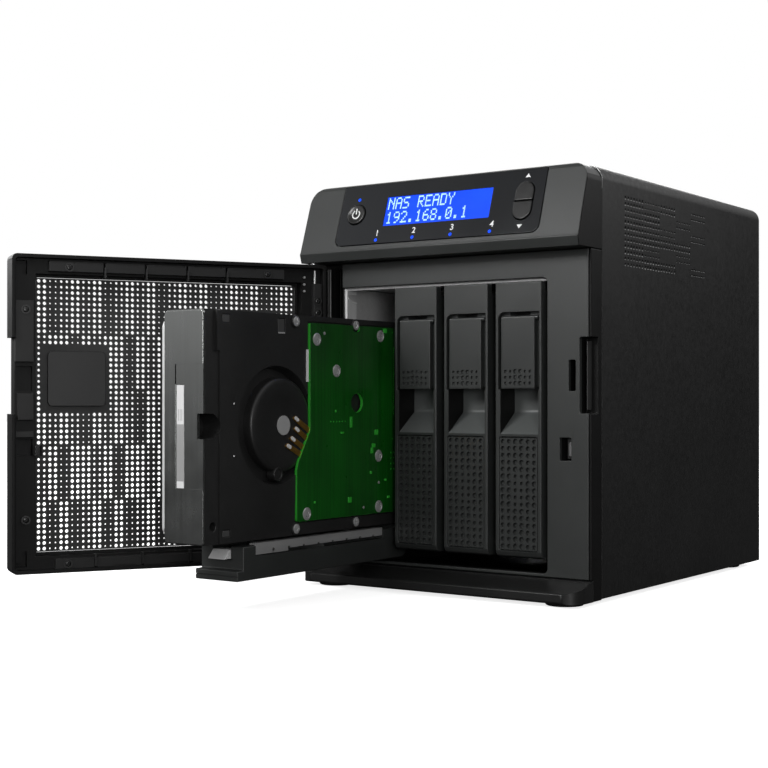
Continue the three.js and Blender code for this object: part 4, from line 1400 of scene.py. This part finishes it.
def fan():
    (x0, x1), (y0, y1), (z0, z1) = span("fan_housing")
    cx, cz = (x0 + x1) / 2, (z0 + z1) / 2
    housing = prism("y", rounded(rectangle((x0, x1), (z0, z1)), 4), y0, y1)
    housing = cut(housing, rod("y", 44.5, y0 - 1, y1 + 1, (cx, cz), 64))
    waist = turned("y", [(60, y0 + 5), (60, y1 - 5), (45.7, y1 - 5), (45.7, y0 + 5)], (cx, cz), 64, ring=True)
    housing = eased(cut(housing, waist), 0.4)
    spoke = box((-1.5, 1.5), (y1 - 3, y1), (16, 44.8))
    spokes = [spoke.moved(Matrix.Rotation(math.tau * k / 4 + 0.3, 4, "Y")) for k in range(4)]
    hub = turned("y", [(18, y1 - 3), (18, y1 - 0.4), (17.4, y1), (2, y1)], sides=48)
    stay = total([eased(s, 0.3) for s in spokes]) + hub
    piece("fan_frame", housing + stay.at(x=cx, z=cz), "plastic", "chassis", ["fan_housing"])
    rotor = turned("y", [(4, 104), (17.4, 104), (18, 103), (18, 87.5), (16.5, 86), (3, 86)], sides=48)
    for k in range(7):
        rings = []
        for step in range(9):
            radius = 17 + (41.4 - 17) * step / 8
            twist = math.radians(52 - 16 * step / 8)
            sweep = math.tau * k / 7 + 0.35 * step / 8
            along = Vector((math.cos(sweep), 0, math.sin(sweep)))
            side = Vector((-math.sin(sweep), 0, math.cos(sweep)))
            chord = side * math.cos(twist) + Vector((0, math.sin(twist), 0))
            skin = side * math.sin(twist) * -1 + Vector((0, math.cos(twist), 0))
            centre = along * radius + Vector((0, 95, 0))
            reach = 8.2 - 1.2 * step / 8
            ring = []
            for t in (-1, -0.5, 0, 0.5, 1):
                ring.append(centre + chord * reach * t + skin * (0.55 - 1.3 * (t * t - 0.5)))
            for t in (1, 0.5, 0, -0.5, -1):
                ring.append(centre + chord * reach * t + skin * (-0.55 - 1.3 * (t * t - 0.5)))
            rings.append(ring)
        rotor += loft(rings)
    piece("fan_wheel", rotor.at(x=cx, z=cz), "chip", "fan", ["fan_rotor"])


# ---------------------------------------------------------------- camera, floor and light
# Where the sky's light starts and is full, by height of direction, and how bright it is there.
SKY = (0.1, 0.3, 0.005, 0.85)
CEILING = (0.62, 0.82, 1.0, 0.4)
# Each lamp: its name, place in metres, size in metres and power in watts.
LAMPS = (
    ("key", (-0.17, -0.6, 0.4), 0.2, 2.1),
    ("fill", (0.6, -0.75, 0.16), 0.2, 2.0),
    ("top", (0.45, 0.35, 0.4), 0.2, 0.9),
    ("rear", (-0.5, 1.1, 0.5), 0.5, 5),
    ("left", (-1.1, 0.1, 0.5), 0.5, 3),
)


def math_node(tree, operation, *inputs):
    node = tree.nodes.new("ShaderNodeMath")
    node.operation = operation
    for socket, value in zip(node.inputs, inputs):
        if isinstance(value, (int, float)):
            socket.default_value = value
        else:
            tree.links.new(value, socket)
    return node.outputs[0]


def between(tree, value, start, stop, low, high):
    node = tree.nodes.new("ShaderNodeMapRange")
    node.interpolation_type = "SMOOTHSTEP"
    for socket, number in zip(node.inputs[1:5], (start, stop, low, high)):
        socket.default_value = number
    tree.links.new(value, node.inputs[0])
    return node.outputs[0]


def studio():
    """A white background; round the object, dim light from below that grows brighter upwards."""
    world = bpy.data.worlds.new("studio")
    SCENE.world = world
    world.use_nodes = True
    tree = world.node_tree
    split = tree.nodes.new("ShaderNodeSeparateXYZ")
    tree.links.new(tree.nodes.new("ShaderNodeTexCoord").outputs["Generated"], split.inputs[0])
    x, y, z = split.outputs
    ahead = math_node(tree, "ADD", math_node(tree, "MULTIPLY", x, 0.55), math_node(tree, "MULTIPLY", y, 0.83))
    height = math_node(tree, "ADD", z, math_node(tree, "MULTIPLY", ahead, -0.18))
    glow = between(tree, height, *SKY)
    glow = math_node(tree, "MULTIPLY", glow, between(tree, height, *CEILING))
    seen = tree.nodes.new("ShaderNodeLightPath").outputs["Is Camera Ray"]
    glow = math_node(tree, "MAXIMUM", glow, seen)
    tree.links.new(glow, tree.nodes["Background"].inputs["Strength"])
    tree.nodes["Background"].inputs["Color"].default_value = (1, 1, 1, 1)


def pale_floor():
    corners = [(-4000, -4000), (4000, -4000), (4000, 4000), (-4000, 4000)]
    mesh = Shape([(x, y, cad_bounds[0][2] / MM) for x, y in corners], [(0, 1, 2, 3)]).mesh(MM)
    floor = bpy.data.objects.new("floor", mesh)
    SCENE.collection.objects.link(floor)
    paint = bpy.data.materials.new("pale_floor")
    paint.use_nodes = True
    tree = paint.node_tree
    shader = tree.nodes["Principled BSDF"]
    seen = tree.nodes.new("ShaderNodeLightPath").outputs["Is Camera Ray"]
    shader.inputs["Base Color"].default_value = (0.8, 0.8, 0.8, 1)
    shader.inputs["Roughness"].default_value = 0.9
    shader.inputs["Specular IOR Level"].default_value = 0.1
    shader.inputs["Emission Color"].default_value = (1, 1, 1, 1)
    tree.links.new(math_node(tree, "MULTIPLY", seen, 0.78), shader.inputs["Emission Strength"])
    dim = tree.nodes.new("ShaderNodeBsdfDiffuse")
    dim.inputs["Color"].default_value = (0.06, 0.06, 0.06, 1)
    mix = tree.nodes.new("ShaderNodeMixShader")
    tree.links.new(seen, mix.inputs[0])
    tree.links.new(dim.outputs[0], mix.inputs[1])
    tree.links.new(shader.outputs[0], mix.inputs[2])
    tree.links.new(mix.outputs[0], tree.nodes["Material Output"].inputs["Surface"])
    mesh.materials.append(paint)


def stage_and_light():
    data = bpy.data.cameras.new("camera")
    data.lens = 68.29
    data.sensor_width = 36
    data.shift_y = 0.01126
    data.clip_start = 0.02
    camera = bpy.data.objects.new("camera", data)
    camera.location = (0.38722, -0.69553, 0.09417)
    camera.rotation_euler = (math.radians(90.16), 0, math.radians(35.29))
    SCENE.collection.objects.link(camera)
    SCENE.camera = camera
    SCENE.view_settings.view_transform = "Standard"
    pale_floor()
    studio()
    aim = Vector((0, 0, 0.1))
    for name, place, size, power in LAMPS:
        lamp = bpy.data.lights.new(name, "AREA")
        lamp.size = size
        lamp.energy = power
        holder = bpy.data.objects.new(name, lamp)
        holder.location = place
        holder.rotation_euler = (aim - Vector(place)).to_track_quat("-Z", "Y").to_euler()
        SCENE.collection.objects.link(holder)


stage_and_light()
steel_cover()
rear_panel()
base_and_feet()
front_frame()
front_plate()
door_sill()
cage_flange()
control_bezel()
control_lens()
buttons()
bay_doors()
drives()
front_door()
inside()
fan()
